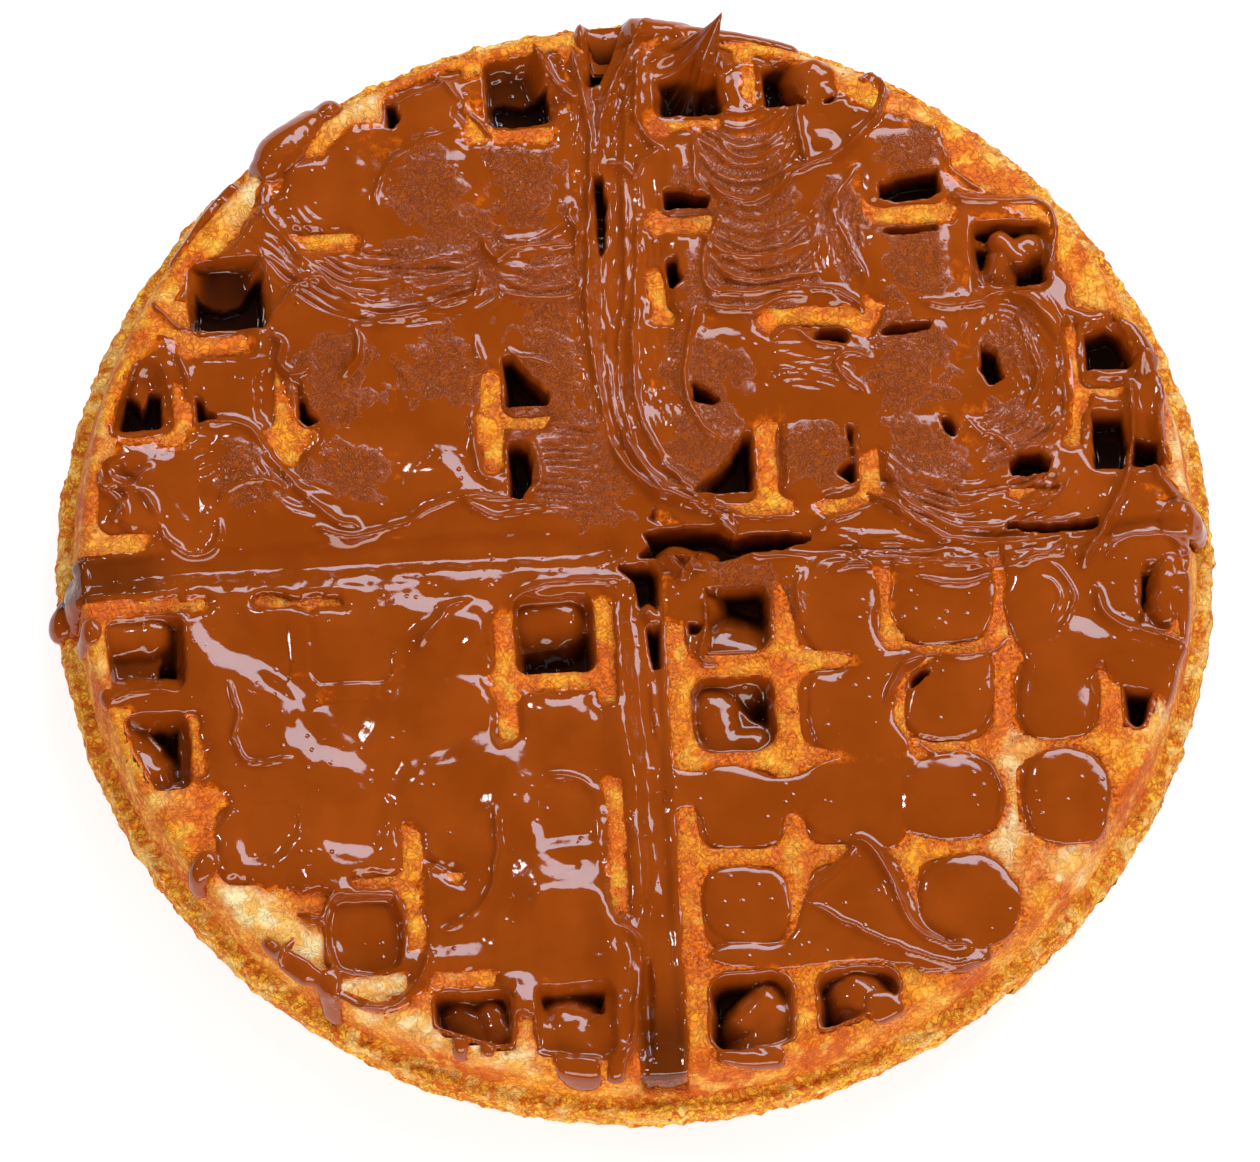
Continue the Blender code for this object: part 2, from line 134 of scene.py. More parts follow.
# --- Curves and capsules in the plan ------------------------------------------------------------
def smooth_line(points, step=0.7, closed=False):
    """Points along a Catmull-Rom curve through the given ones."""
    points = [np.array(p, float) for p in points]
    if closed:
        points.append(points[0])
        ends = [points[-2], *points, points[1]]
    else:
        ends = [2 * points[0] - points[1], *points, 2 * points[-1] - points[-2]]
    line = []
    for a, b, c, d in zip(ends, ends[1:], ends[2:], ends[3:]):
        count = max(2, int(np.linalg.norm(c - b) / step))
        for k in range(count):
            t = k / count
            curve = 2 * b + (c - a) * t + (2 * a - 5 * b + 4 * c - d) * t**2 + (3 * b - a - 3 * c + d) * t**3
            line.append(curve / 2)
    return np.array([*line, points[-1]])


def along(x, y, points, reach):
    """The places within reach of a curve: their indices, how far along it they are, how far to its left
    (negative to the right), and the curve's length."""
    line = smooth_line(points)
    low, high = line.min(0) - reach, line.max(0) + reach
    near = np.flatnonzero((x > low[0]) & (x < high[0]) & (y > low[1]) & (y < high[1]))
    px, py = x[near], y[near]
    best = np.full(near.shape, 1e9)
    run = np.zeros(near.shape)
    side = np.zeros(near.shape)
    start = 0.0
    for a, b in zip(line, line[1:]):
        length = math.hypot(*(b - a))
        if length < 1e-6:
            continue
        tx, ty = (b - a) / length
        qx, qy = px - a[0], py - a[1]
        t = np.clip(qx * tx + qy * ty, 0.0, length)
        ox, oy = qx - t * tx, qy - t * ty
        away = ox * ox + oy * oy
        closer = away < best
        best = np.where(closer, away, best)
        run = np.where(closer, start + t, run)
        side = np.where(closer, np.sign(tx * qy - ty * qx), side)
        start += length
    distance = np.sqrt(best)
    inside = distance < reach
    return near[inside], run[inside], (distance * side)[inside], start


def within(x, y, points, reach, rounded=True):
    """The places inside a closed curve, or within reach of it: their indices, and how far inside they are
    (negative outside). The curve is smooth, or straight from point to point."""
    if rounded:
        line = smooth_line(points, closed=True)
    else:
        line = np.array([*points, points[0]], float)
    low, high = line.min(0) - reach, line.max(0) + reach
    near = np.flatnonzero((x > low[0]) & (x < high[0]) & (y > low[1]) & (y < high[1]))
    px, py = x[near], y[near]
    best = np.full(near.shape, 1e9)
    inside = np.zeros(near.shape, bool)
    for (ax, ay), (bx, by) in zip(line, line[1:]):
        dx, dy = bx - ax, by - ay
        length = dx * dx + dy * dy
        if length < 1e-9:
            continue
        t = np.clip(((px - ax) * dx + (py - ay) * dy) / length, 0.0, 1.0)
        best = np.minimum(best, (px - ax - t * dx) ** 2 + (py - ay - t * dy) ** 2)
        if ay != by:
            inside ^= ((ay > py) != (by > py)) & (px < dx * (py - ay) / (by - ay) + ax)
    depth = np.sqrt(best) * np.where(inside, 1.0, -1.0)
    kept = depth > -reach
    return near[kept], depth[kept]


def capsule(x, y, x0, y0, x1, y1):
    """Distance from a straight line between two points."""
    dx, dy = x1 - x0, y1 - y0
    length = max(dx * dx + dy * dy, 1e-9)
    t = np.clip(((x - x0) * dx + (y - y0) * dy) / length, 0.0, 1.0)
    return np.hypot(x - x0 - t * dx, y - y0 - t * dy)


# --- The lattice --------------------------------------------------------------------------------
def mostly_bare(x, y):
    """1 in the quarter whose bars are mostly bare, 0 in the others."""
    return smoothstep(2.5, 5.0, x) * smoothstep(-2.5, -5.0, y)


def lattice_place(x, y):
    """Where a place is on an even lattice: one quarter of this waffle is a little stretched."""
    part = smoothstep(0.0, 9.0, x) * smoothstep(0.0, -7.0, y)
    return x - 0.05 * x * part, y - 1.6 * part * smoothstep(-84.0, -58.0, y)


def nearest_pocket(x, y):
    """Column and row of the nearest pocket of the same quarter, and its centre."""
    column = np.clip(np.rint((np.abs(x) - FIRST) / PITCH), 0, POCKETS - 1).astype(int)
    row = np.clip(np.rint((np.abs(y) - FIRST) / PITCH), 0, POCKETS - 1).astype(int)
    cx = np.where(x < 0, -1, 1) * (FIRST + PITCH * column)
    cy = np.where(y < 0, -1, 1) * (FIRST + PITCH * row)
    return column, row, cx, cy


def pocket_edge(x, y):
    """Distance from the nearest pocket's mouth, negative inside it."""
    face_x, face_y = x, y
    corner = 1.9 + 1.3 * mostly_bare(x, y)
    x, y = lattice_place(x, y)
    _, _, cx, cy = nearest_pocket(x, y)
    qx = np.abs(x - cx) - HALF_MOUTH + corner
    qy = np.abs(y - cy) - HALF_MOUTH + corner
    edge = np.hypot(np.maximum(qx, 0), np.maximum(qy, 0)) + np.minimum(np.maximum(qx, qy), 0) - corner
    edge = smooth_max(edge, np.hypot(face_x, face_y) - RIM_R, 1.2)
    missing = np.hypot(cx, cy) > POCKET_REACH
    wobble = 0.30 * noise(x, y, 4.5, 3) + 0.12 * noise(x, y, 1.7, 4)
    return np.where(missing, FAR, edge + wobble)


def cross_edge(x, y):
    """Distance from the edge of the dividing cross, negative inside it."""
    wobble = 0.35 * noise(x, y, 6.0, 5)
    return np.minimum(np.abs(x), np.abs(y)) - HALF_CROSS + wobble


def fall(edge):
    """How far down the wall a place is: 0 on the bar, 1 on the floor."""
    return smoothstep(0.55, -1.25, edge)


def crust_height(x, y, grow=0.0):
    """Height of the crust above the face; grow makes the pockets and the cross that much wider."""
    pocket = POCKET_DEPTH * fall(pocket_edge(x, y) - grow)
    cross = CROSS_DEPTH * fall(cross_edge(x, y) - grow)
    return -np.maximum(pocket, cross)


# --- What the knife did: all the places are in mm on the plan -----------------------------------
# Each pocket, rows outward from the cross and columns outward from it: C is covered, F full to the bars,
# S sunk a little, H half full, D open with coated walls.
FILL = {
    (-1, 1): ("CCCCC", "CCCCC", "CCCC", "CCC", "CC"),
    (1, 1): ("CCCCC", "CCCCC", "CCCS", "CCC", "CC"),
    (-1, -1): ("HCCCH", "CCCCH", "CCCC", "CCC", "SD"),
    (1, -1): ("DFFFS", "HFFFD", "FFFF", "FFF", "DD"),
}
OPEN_LEVEL = -5.0  # a pocket whose chocolate stands lower is open, with coated walls
LEVEL = {"C": 0.75, "F": -0.10, "S": -1.0, "H": -3.4, "D": -6.6}

# Bare bars and patches: start, end, radius of the bare strip.
BARE = (
    (-68, 55, -57, 67, 3.4),
    (-51, 55.5, -44, 55, 1.9),
    (-78, 46, -70, 42, 2.6),
    (-70, 38.5, -62, 38, 1.8),
    (-84, 26, -73, 23.5, 1.8),
    (-73, 30, -71, 26, 1.4),
    (-57.5, 31, -55.5, 20, 2.2),
    (-52.5, 23, -54.5, 19, 1.6),
    (-22, 29, -22, 17, 2.0),
    (-21, 23, -14, 23, 1.2),
    (-88, 9, -81, 5.5, 2.6),
    (-82, 17.4, -80, 16.4, 1.2),
    (-86.6, 9, -83.4, 13.4, 2.2),
    (-39, -56.6, -38.6, -64, 1.3),
    (-36, -50.4, -31.4, -53, 0.9),
    (-72.6, -25, -72, -33, 0.9),
    (-22, 72, -11, 72, 1.4),
    (-9, 84, -8, 77, 1.2),
    (-47, 79, -38, 77, 2.4),
    (-36, 84.5, -8, 88, 2.4),
    (-24, 76, -22, 74, 1.2),
    (-84, 33, -86, 22, 1.8),
    (-76, 52, -81, 44, 1.8),
    (7, 55.5, 14, 55, 1.8),
    (6, 72, 16, 73, 1.4),
    (6, 45, 7, 40, 1.7),
    (24, 38, 37, 37.5, 1.8),
    (39.5, 36, 40, 39, 1.2),
    (42, 55.5, 52, 55, 1.9),
    (22.3, 18, 22.3, 8, 1.9),
    (14, 7.5, 23, 6.5, 1.9),
    (32, 6.5, 40, 9, 1.7),
    (39, 13, 39, 10, 1.3),
    (56, 68, 66, 58, 3.6),
    (56, 62, 58, 60, 2.0),
    (72, 52, 76, 40, 3.4),
    (72.5, 33, 71.5, 16, 1.9),
    (75, 24, 79, 23.5, 1.2),
    (62, 7.5, 67, 8, 1.2),
    (38, 80.5, 48, 76.5, 2.2),
    (33, 83.5, 44, 80, 1.8),
    (48, 74.5, 56, 70, 2.0),
    (88.6, 22, 89, 8, 1.4),
    (23, 80, 23.5, 76, 1.2),
    (-22, -12, -22, -29, 1.9),
    (-19, -21, -8, -21, 1.7),
    (-6, -10, -5.6, -24, 1.5),
    (-5.6, -40, -5.6, -60, 1.3),
    (-82, -5.2, -70, -5.6, 0.7),
    (-60, -5.6, -48, -6.6, 0.5),
    (-88, -5, -82, -5, 1.5),
    (-87, -14, -84.5, -15.5, 2.0),
    (-88, -22, -84, -36, 1.8),
    (-78, -37, -70, -40, 2.6),
    (-76, -42, -72, -47, 2.4),
    (-67, -55.5, -55.5, -64.5, 3.4),
    (-60, -56.5, -54.5, -57, 1.6),
    (-50, -71.5, -42, -71, 1.6),
    (-38.5, -47, -38.5, -52, 1.6),
    (-47, -53.3, -40, -53.6, 1.1),
    (-35, -71, -28, -71, 1.2),
    (-41, -78, -34, -82, 3.0),
    (-38, -74, -37, -78, 1.6),
    (-29, -84.5, -22, -83, 2.6),
    (-22, -79, -21.5, -84, 1.3),
    (52, 86, 62, 80, 3.0),
)
# Pools and flows of the quarter that is mostly bare, which swell above the bars: height of the top, width
# of the rounded edge, then the outline.
POOLS = (
    (0.55, 1.6, (26.2, -8), (28, -3.6), (33, -2.4), (37.6, -5), (38.4, -11), (37.6, -15), (39.5, -19.6),
     (36, -20.8), (32, -19.4), (28.5, -18.4), (26.2, -15.4), (25.6, -11)),
    (0.50, 1.6, (40.6, -8), (41.6, -3.6), (48, -3.0), (55, -3.6), (57.2, -8), (56.6, -14), (54.6, -17.6),
     (49, -18.8), (44, -18), (41, -15.4), (40, -11)),
    (0.75, 1.8, (59, -7), (58.6, -2), (68, -1.6), (79, -1.6), (88, -1.4), (88.4, -5), (85, -6.4),
     (81.6, -6.6), (80.8, -10), (80.8, -14), (79.8, -17.2), (81.4, -18.6), (86.4, -20), (87, -24),
     (83, -24.6), (78, -22.8), (73.4, -23.6), (71.6, -26), (71.8, -31), (70.6, -34.8), (66, -36),
     (61.6, -35), (60, -31), (60.2, -26), (61, -22), (59.2, -17), (58.4, -12)),
    (0.50, 1.5, (74, -22.6), (80, -21.6), (86, -22), (86.8, -28), (84.4, -31), (81, -28.4), (77, -27.4),
     (74.6, -26)),
    (0.60, 1.6, (42.6, -26), (45, -22.4), (50, -20.6), (55.4, -21), (56.4, -26), (55.2, -30.4),
     (53, -33.6), (48, -34.6), (43.4, -33.6), (41.4, -30.4)),
    (0.45, 1.5, (26.4, -26), (27.4, -22.6), (31, -22.2), (35, -19.6), (42, -18.8), (45.4, -20.6),
     (42, -23.6), (40.4, -27), (40, -31), (42, -35.4), (41, -38), (34, -39), (30.4, -36.4), (27.6, -34.6),
     (26.2, -31)),
    (0.65, 1.7, (40.4, -40.6), (43, -38), (49, -37.4), (54.2, -39), (56.6, -43.6), (55.4, -49),
     (51, -51.8), (44, -51.2), (40.4, -49.4), (39.4, -45)),
    (0.65, 1.7, (60.4, -41.4), (63, -37.8), (67, -37), (71.2, -38.6), (73.8, -43), (73.4, -48.6),
     (71.4, -53), (66, -53.6), (61, -51.4), (59.8, -46)),
    (0.65, 1.7, (42.2, -60), (44.4, -56.2), (49, -54.2), (53.6, -54.8), (57, -58), (58.6, -62.6),
     (57, -67.6), (52, -70.4), (46, -68.6), (42.6, -65.4)),
    (0.45, 1.5, (1, -37.4), (8, -37.6), (14, -37), (20, -39.6), (24, -39.2), (28, -37.4), (34, -36),
     (42, -36.6), (43.4, -39), (41.4, -43), (41, -50), (38, -52.6), (33, -53), (29.6, -50.8), (26, -49),
     (23.5, -46.2), (21.4, -46.8), (20.2, -50.4), (14, -51.2), (9.4, -50.2), (8, -46), (6, -43.8), (1, -45)),
    (0.40, 1.4, (8, -58), (9.2, -55), (15, -54.4), (20, -55.8), (21.6, -59), (21.2, -64), (18, -67),
     (12, -66.8), (9, -65), (7.8, -61.4)),
    (0.50, 1.5, (23.4, -61), (26, -57), (29.6, -53.8), (33.4, -50), (37.4, -52.4), (40.4, -58),
     (42.4, -64.4), (46, -68.6), (53, -70.4), (51, -73.4), (45, -74), (39, -72.6), (33, -71.2),
     (27, -71.4), (20, -72), (11, -71), (7.8, -69), (12, -67), (18.6, -67.6), (22, -65.4)),
    (0.45, 1.3, (20, -3), (24, -2), (28, -3), (27.4, -8), (26.6, -14), (24.6, -13), (23.4, -8), (21.4, -5.6)),
    (0.30, 1.2, (3.4, -5), (5, -3.2), (12, -3.0), (20, -3.4), (22.6, -6), (21.4, -8.4), (16, -7.4),
     (11.6, -7.8), (10.8, -10), (10.8, -18), (9, -19), (7.6, -18), (7.2, -14), (4, -12.4), (3.6, -9)),
    (0.40, 1.3, (33, -77), (37, -77), (39, -80), (36, -82.4), (33, -81)),
    (0.70, 1.6, (81.2, 31), (83.8, 28), (85.8, 21), (85.6, 14), (84.6, 11.4), (83.2, 14), (82, 20),
     (80.4, 26)),
    (0.35, 1.2, (8, -85), (13, -85.2), (18.4, -84.6), (19.4, -87), (16, -88.4), (11, -87)),
)
# Places where the chocolate has sunk: depth, width of the slope, then the outline.
DIPS = (
    (5.5, 4.6, (-22.4, 72.6), (-22.8, 82), (-20, 85.6), (-12, 86), (-9, 81), (-8.8, 72.6)),
    (5.5, 4.6, (-70, 40.4), (-70, 52), (-66, 57), (-60, 57.4), (-56.4, 52), (-56.6, 40.4)),
    (3.0, 3.6, (-83, 24.4), (-83, 33), (-79, 37), (-74, 36), (-72.4, 30), (-73, 24.4)),
    (2.2, 3.0, (57, 41), (56.8, 55), (63, 55.6), (69, 54.4), (69.4, 46), (67, 41.2)),
    (2.6, 5.0, (73, 9), (73, 20), (80, 20.6), (86, 17), (86.4, 9)),
    (2.6, 5.0, (73, 26), (73, 34), (79, 37), (83, 33), (82, 26)),
    (3.2, 3.6, (6.4, 73.4), (6.4, 80), (9, 84), (17, 83), (18.6, 79), (18.8, 73.4)),
    (3.0, 4.0, (24, 74), (23.6, 80), (26, 83.4), (31, 82.6), (31.4, 74)),
    (2.6, 1.4, (-51.8, -56.4), (-41.4, -56.4), (-41.2, -68.4), (-51.8, -68)),
    (0.7, 3.2, (-19.6, -40), (-12, -38.8), (-7, -41), (-7.6, -49), (-13, -50.6), (-19, -49.6)),
    (0.7, 3.4, (-52, -39.6), (-44, -38.8), (-41, -42), (-42.6, -49), (-48, -50), (-52.6, -47)),
    (0.6, 3.6, (-36, -59), (-27, -56), (-24.6, -61), (-27, -67), (-35.6, -67.6)),
    (0.5, 4.0, (-66, -8), (-52, -8), (-42, -11), (-36, -16), (-40, -26), (-46, -32), (-54, -26), (-62, -18)),
    (0.5, 2.5, (-66, -40), (-58, -38), (-55, -44), (-59, -50), (-66, -50)),
    (2.2, 4.0, (-19.6, -71.6), (-8.2, -71.6), (-8.6, -78), (-14, -80), (-19, -79)),
    (1.2, 3.4, (-2.6, 3), (-12, 4.6), (-30, 5.0), (-60, 4.2), (-90, 4.6), (-96, 0), (-90, -4), (-74, -3),
     (-60, -3), (-30, -3), (-4, -2.6)),
    (1.3, 2.8, (-3.4, -8), (3.6, -6), (4.4, -30), (4.2, -60), (4.4, -96), (-3.6, -96), (-4.2, -72),
     (-2.8, -60), (-2.6, -40), (-3.4, -24)),
    (1.4, 1.6, (-3.2, -71), (-1.0, -69), (-0.6, -76), (-1.6, -86), (-3.4, -82)),
    (0.7, 2.0, (24, 0.8), (40, -1), (60, 0.6), (88, 1.6), (88, -3.2), (60, -3.4), (40, -3.4), (24, -3)),
    (0.9, 1.6, (-4, 90), (-3.6, 60), (-5, 30), (-3.6, 18), (0, 18), (1.4, 40), (1.8, 64), (4, 90)),
)
# Open places, with straight sides.
OPENINGS = (
    ((-19.4, 9.8), (-17.8, 9.7), (-16.2, 12.2), (-15.8, 15), (-16.4, 18.2), (-18.2, 19.5), (-19.4, 19.2)),
    ((-19.5, 33.5), (-18.2, 33.6), (-12.8, 26.9), (-12.8, 25.5), (-19.5, 25.5)),
    ((-53.4, 31.4), (-52.4, 31.2), (-51.3, 26.4), (-49.8, 24.5), (-51.2, 24.0), (-53.2, 25.8)),
    ((-69.2, 30.2), (-68.2, 29), (-67.4, 26.8), (-66, 25.7), (-69, 25.6)),
    ((-21.6, 74), (-21.8, 77.2), (-17.6, 78.2), (-13.4, 77.4), (-10.2, 79.4), (-10, 74)),
    ((-38.6, 77.4), (-37, 78.6), (-34.8, 77.6), (-34, 75.4), (-35, 73.9), (-37.6, 74.1), (-38.8, 75.6)),
    ((-38, 81.4), (-36, 80.8), (-36.1, 79.5), (-37.8, 79.5)),
    ((-69, 41.4), (-68.8, 48.6), (-66.6, 46.4), (-64, 45.4), (-61, 46.2), (-58.2, 50), (-57.4, 50),
     (-57.4, 41.4)),
    ((-81.2, 26.4), (-80, 31.2), (-78.4, 30), (-77.6, 28), (-76, 31.4), (-74.8, 31), (-74.8, 25.6),
     (-80.6, 25.5)),
    ((-3.3, 64), (-2.2, 64), (-1.7, 59), (-2.2, 52), (-3.0, 50), (-3.2, 57)),
    ((-3.4, 79.5), (-1.6, 80), (0.6, 84.5), (2.4, 89.6), (-3.4, 89.6)),
    ((10.6, 9.3), (20, 9.3), (20.2, 19.4), (18.7, 18.7), (15.6, 14.0)),
    ((35.2, 19.2), (36.6, 19.2), (36.9, 10), (35.2, 9.5), (33.4, 11.2), (35.5, 13.2)),
    ((49.4, 20.8), (51.4, 20.5), (52.9, 17.8), (52.1, 16.6), (50.9, 17.4), (50.6, 19.4)),
    ((61, 11.4), (62.6, 12.9), (65.6, 12.8), (67.1, 11.2), (66.8, 9.6), (61.5, 9.2)),
    ((74.6, 9.8), (74.6, 19.4), (78.8, 18.8), (79.6, 14), (78.9, 9.8)),
    ((80.4, 10), (81.2, 14.4), (84.8, 13.6), (85.2, 10)),
    ((11.0, 27.4), (12.2, 26.6), (14.7, 24.6), (13.8, 23.8), (11, 24.8)),
    ((30.8, 34.2), (31.6, 35.9), (34.5, 36.4), (36.4, 35), (36, 33.4), (33.4, 33.9)),
    ((41.8, 34.6), (43.8, 36.5), (49.8, 36.8), (49.2, 35.2), (45, 34.6)),
    ((57.6, 31.2), (59.4, 30.2), (60.3, 26), (58.6, 25.2), (57.0, 27.6)),
    ((74.2, 26.6), (74.2, 32.4), (77.4, 33.4), (81.6, 31), (80.8, 26.8)),
    ((6.8, 48.2), (9, 48.8), (9.7, 45.4), (8.4, 44), (6.7, 45.6)),
    ((43, 51.8), (45.4, 53.3), (51.4, 53.3), (51.2, 51.9), (46, 51.2)),
    ((57.6, 51), (57.6, 53.8), (67, 54.4), (66.4, 50.6), (62.6, 49.6)),
    ((57.4, 48.8), (60, 48.2), (60.5, 45), (58.4, 44.3)),
    ((63.2, 46), (67.4, 47), (68.3, 42.4), (64, 41.8)),
    ((7.8, 57.5), (7.8, 60.6), (10.4, 60.4), (14.9, 59), (14.4, 57.5)),
    ((42.6, 58), (42.8, 60), (47, 61.5), (51.8, 61.9), (52.2, 58.3), (50, 57.5), (45, 57.4)),
    ((7.4, 74), (7.4, 79.4), (11.4, 79), (13, 77.4), (16.6, 78), (17.8, 74)),
    ((25.2, 74.4), (24.9, 80), (28, 81.2), (30, 80), (29.6, 76.2), (31.2, 74.4)),
    ((34.8, 74.4), (38, 75), (37, 77), (36.6, 75.8)),
    ((-18.6, -18.9), (-18.6, -15.6), (-13, -15.2), (-9, -12.6), (-7.4, -13), (-7.4, -18.9)),
    ((-77.4, -8.4), (-74.5, -8.4), (-74.5, -18.6), (-78, -18.6), (-76.2, -14)),
    ((-80.4, -23.6), (-74.8, -23.6), (-74.8, -34), (-77.4, -34.6), (-77, -28)),
    ((-18.8, -73), (-9.2, -73), (-9.4, -77.4), (-12, -75.8), (-15, -75.8), (-18.4, -78)),
    ((2.6, 0.6), (2.0, 2.4), (4.4, 3.5), (2.9, 5.2), (3.2, 7.0), (5.6, 6.2), (8.4, 3.3), (13.4, 2.9),
     (15.8, 1.0), (20, 1.6), (25, 1.4), (28, 0.4), (24, -0.6), (18, -1.5), (14, -2.5), (12, -2.2),
     (10.6, -0.9), (6.5, -0.8), (3.4, -1.7), (1, -1)),
    ((-2.6, -2.8), (2, -2.8), (4.3, -4.6), (4.5, -8.4), (2.4, -10.3), (0.5, -9.4), (-0.2, -5.4)),
    ((1.4, -12.2), (4.8, -12), (9.8, -13.6), (9, -14.6), (5, -14.7), (3.9, -17), (3.5, -19.9),
     (2.1, -19.9), (1.5, -16)),
    ((11.2, -7.4), (20.4, -7.4), (20.4, -12.8), (18.8, -15.2), (15.4, -12.7), (11.4, -10.6)),
    ((15.2, -23.4), (20, -23.4), (19.8, -29.8), (17.4, -28.2), (15, -26)),
    ((43, -25.6), (45.6, -23.4), (44.8, -22.6), (42.4, -24.4)),
    ((80.9, -8.4), (82.2, -8), (82.2, -13), (81.6, -15.6), (80.7, -14)),
    ((60.1, 0.9), (66, 0.4), (74, 1.0), (74, 0.2), (66, -0.3), (60.1, 0.3)),
)
# Chocolate on the rim and down the side: start, end, radius, thickness.
OVER_RIM = (
    (-54, 71, -50, 77, 4.2, 3.2),
    (-55, 68, -57.5, 71, 2.4, 2.0),
    (-45.5, 78.4, -50, 80, 2.4, 2.6),
    (-72, 54, -62, 66, 1.2, 0.7),
    (-91, 0, -97, -4, 3.8, 1.8),
    (-94, -3, -101, -5.5, 2.8, 1.8),
    (0, -86, 0.2, -91.5, 3.6, 1.2),
    (87, 0.5, 95, 0, 3.0, 1.8),
    (-2, 88, 12, 91, 3.2, 2.0),
    (12, 88, 30, 87, 2.0, 1.2),
    (6, 91, 12, 92, 2.6, 2.2),
    (-52.5, -70, -55.5, -78.5, 2.0, 1.3),
    (-71, -49, -74.5, -53.5, 2.0, 1.4),
    (-62, -64, -53, -71, 1.6, 0.9),
    (-14, -84, -13.5, -89.5, 3.6, 1.1),
    (-7, -84, -8, -89, 1.6, 1.0),
    (10, -86, 18, -88, 1.6, 1.0),
    (-88, -9, -92, -10.5, 2.2, 1.0),
    (-32, -80, -33, -84.5, 1.3, 0.9),
    (-27.5, -79, -28, -83, 1.2, 0.8),
    (87, -10, 88, -20, 1.6, 0.7),
    (80, 33, 84, 30, 2.0, 1.2),
)
# Lumps and slopes of chocolate in the open pockets: start, end, radius, height of the top.
LUMPS = (
    (33, 79.4, 33.4, 79, 3.3, 1.2),
    (28, 85, 31, 84.6, 3.0, -0.4),
    (10, 86, 15, 85, 4.0, 0.4),
    (62, 47.5, 60.8, 44, 1.7, -0.6),
    (64, 47.6, 66, 48.6, 1.8, -0.4),
    (61.4, 49.6, 64, 46.6, 1.2, 0.1),
    (-13, -9.5, -17, -10, 5.0, -1.4),
    (-13, -84, -15, -80, 5.6, -0.4),
    (-32, -76, -28, -79, 3.4, -3.0),
    (-27, -76, -26, -80, 2.0, -2.0),
    (-84, -9, -79, -9, 4.6, -1.0),
    (-85, -26, -80, -33, 4.0, -1.2),
    (-86, -20.6, -76, -21, 2.6, 0.6),
    (16, -83, 18, -79, 5.0, -1.6),
    (13.5, -80, 17, -76.4, 2.4, -1.2),
    (31.5, -76, 35, -80, 3.6, -0.2),
    (13, -17.6, 16, -18.8, 7.5, -1.7),
    (11, -27, 12, -33, 4.4, -1.6),
    (17, -33, 13, -33, 3.4, -2.0),
    (85.4, -7, 84.4, -15, 2.0, 1.2),
    (83.6, -13, 84.6, -9.6, 1.2, 1.4),
    (8.4, -6.6, 9.4, -9.4, 2.8, -0.4),
    (9.4, -9.6, 5, -11.4, 1.8, -0.8),
    (1.6, -10.6, 2.2, -11.4, 1.0, 0.3),
    (6, -2.4, 10.6, -3.4, 2.0, 0.7),
)

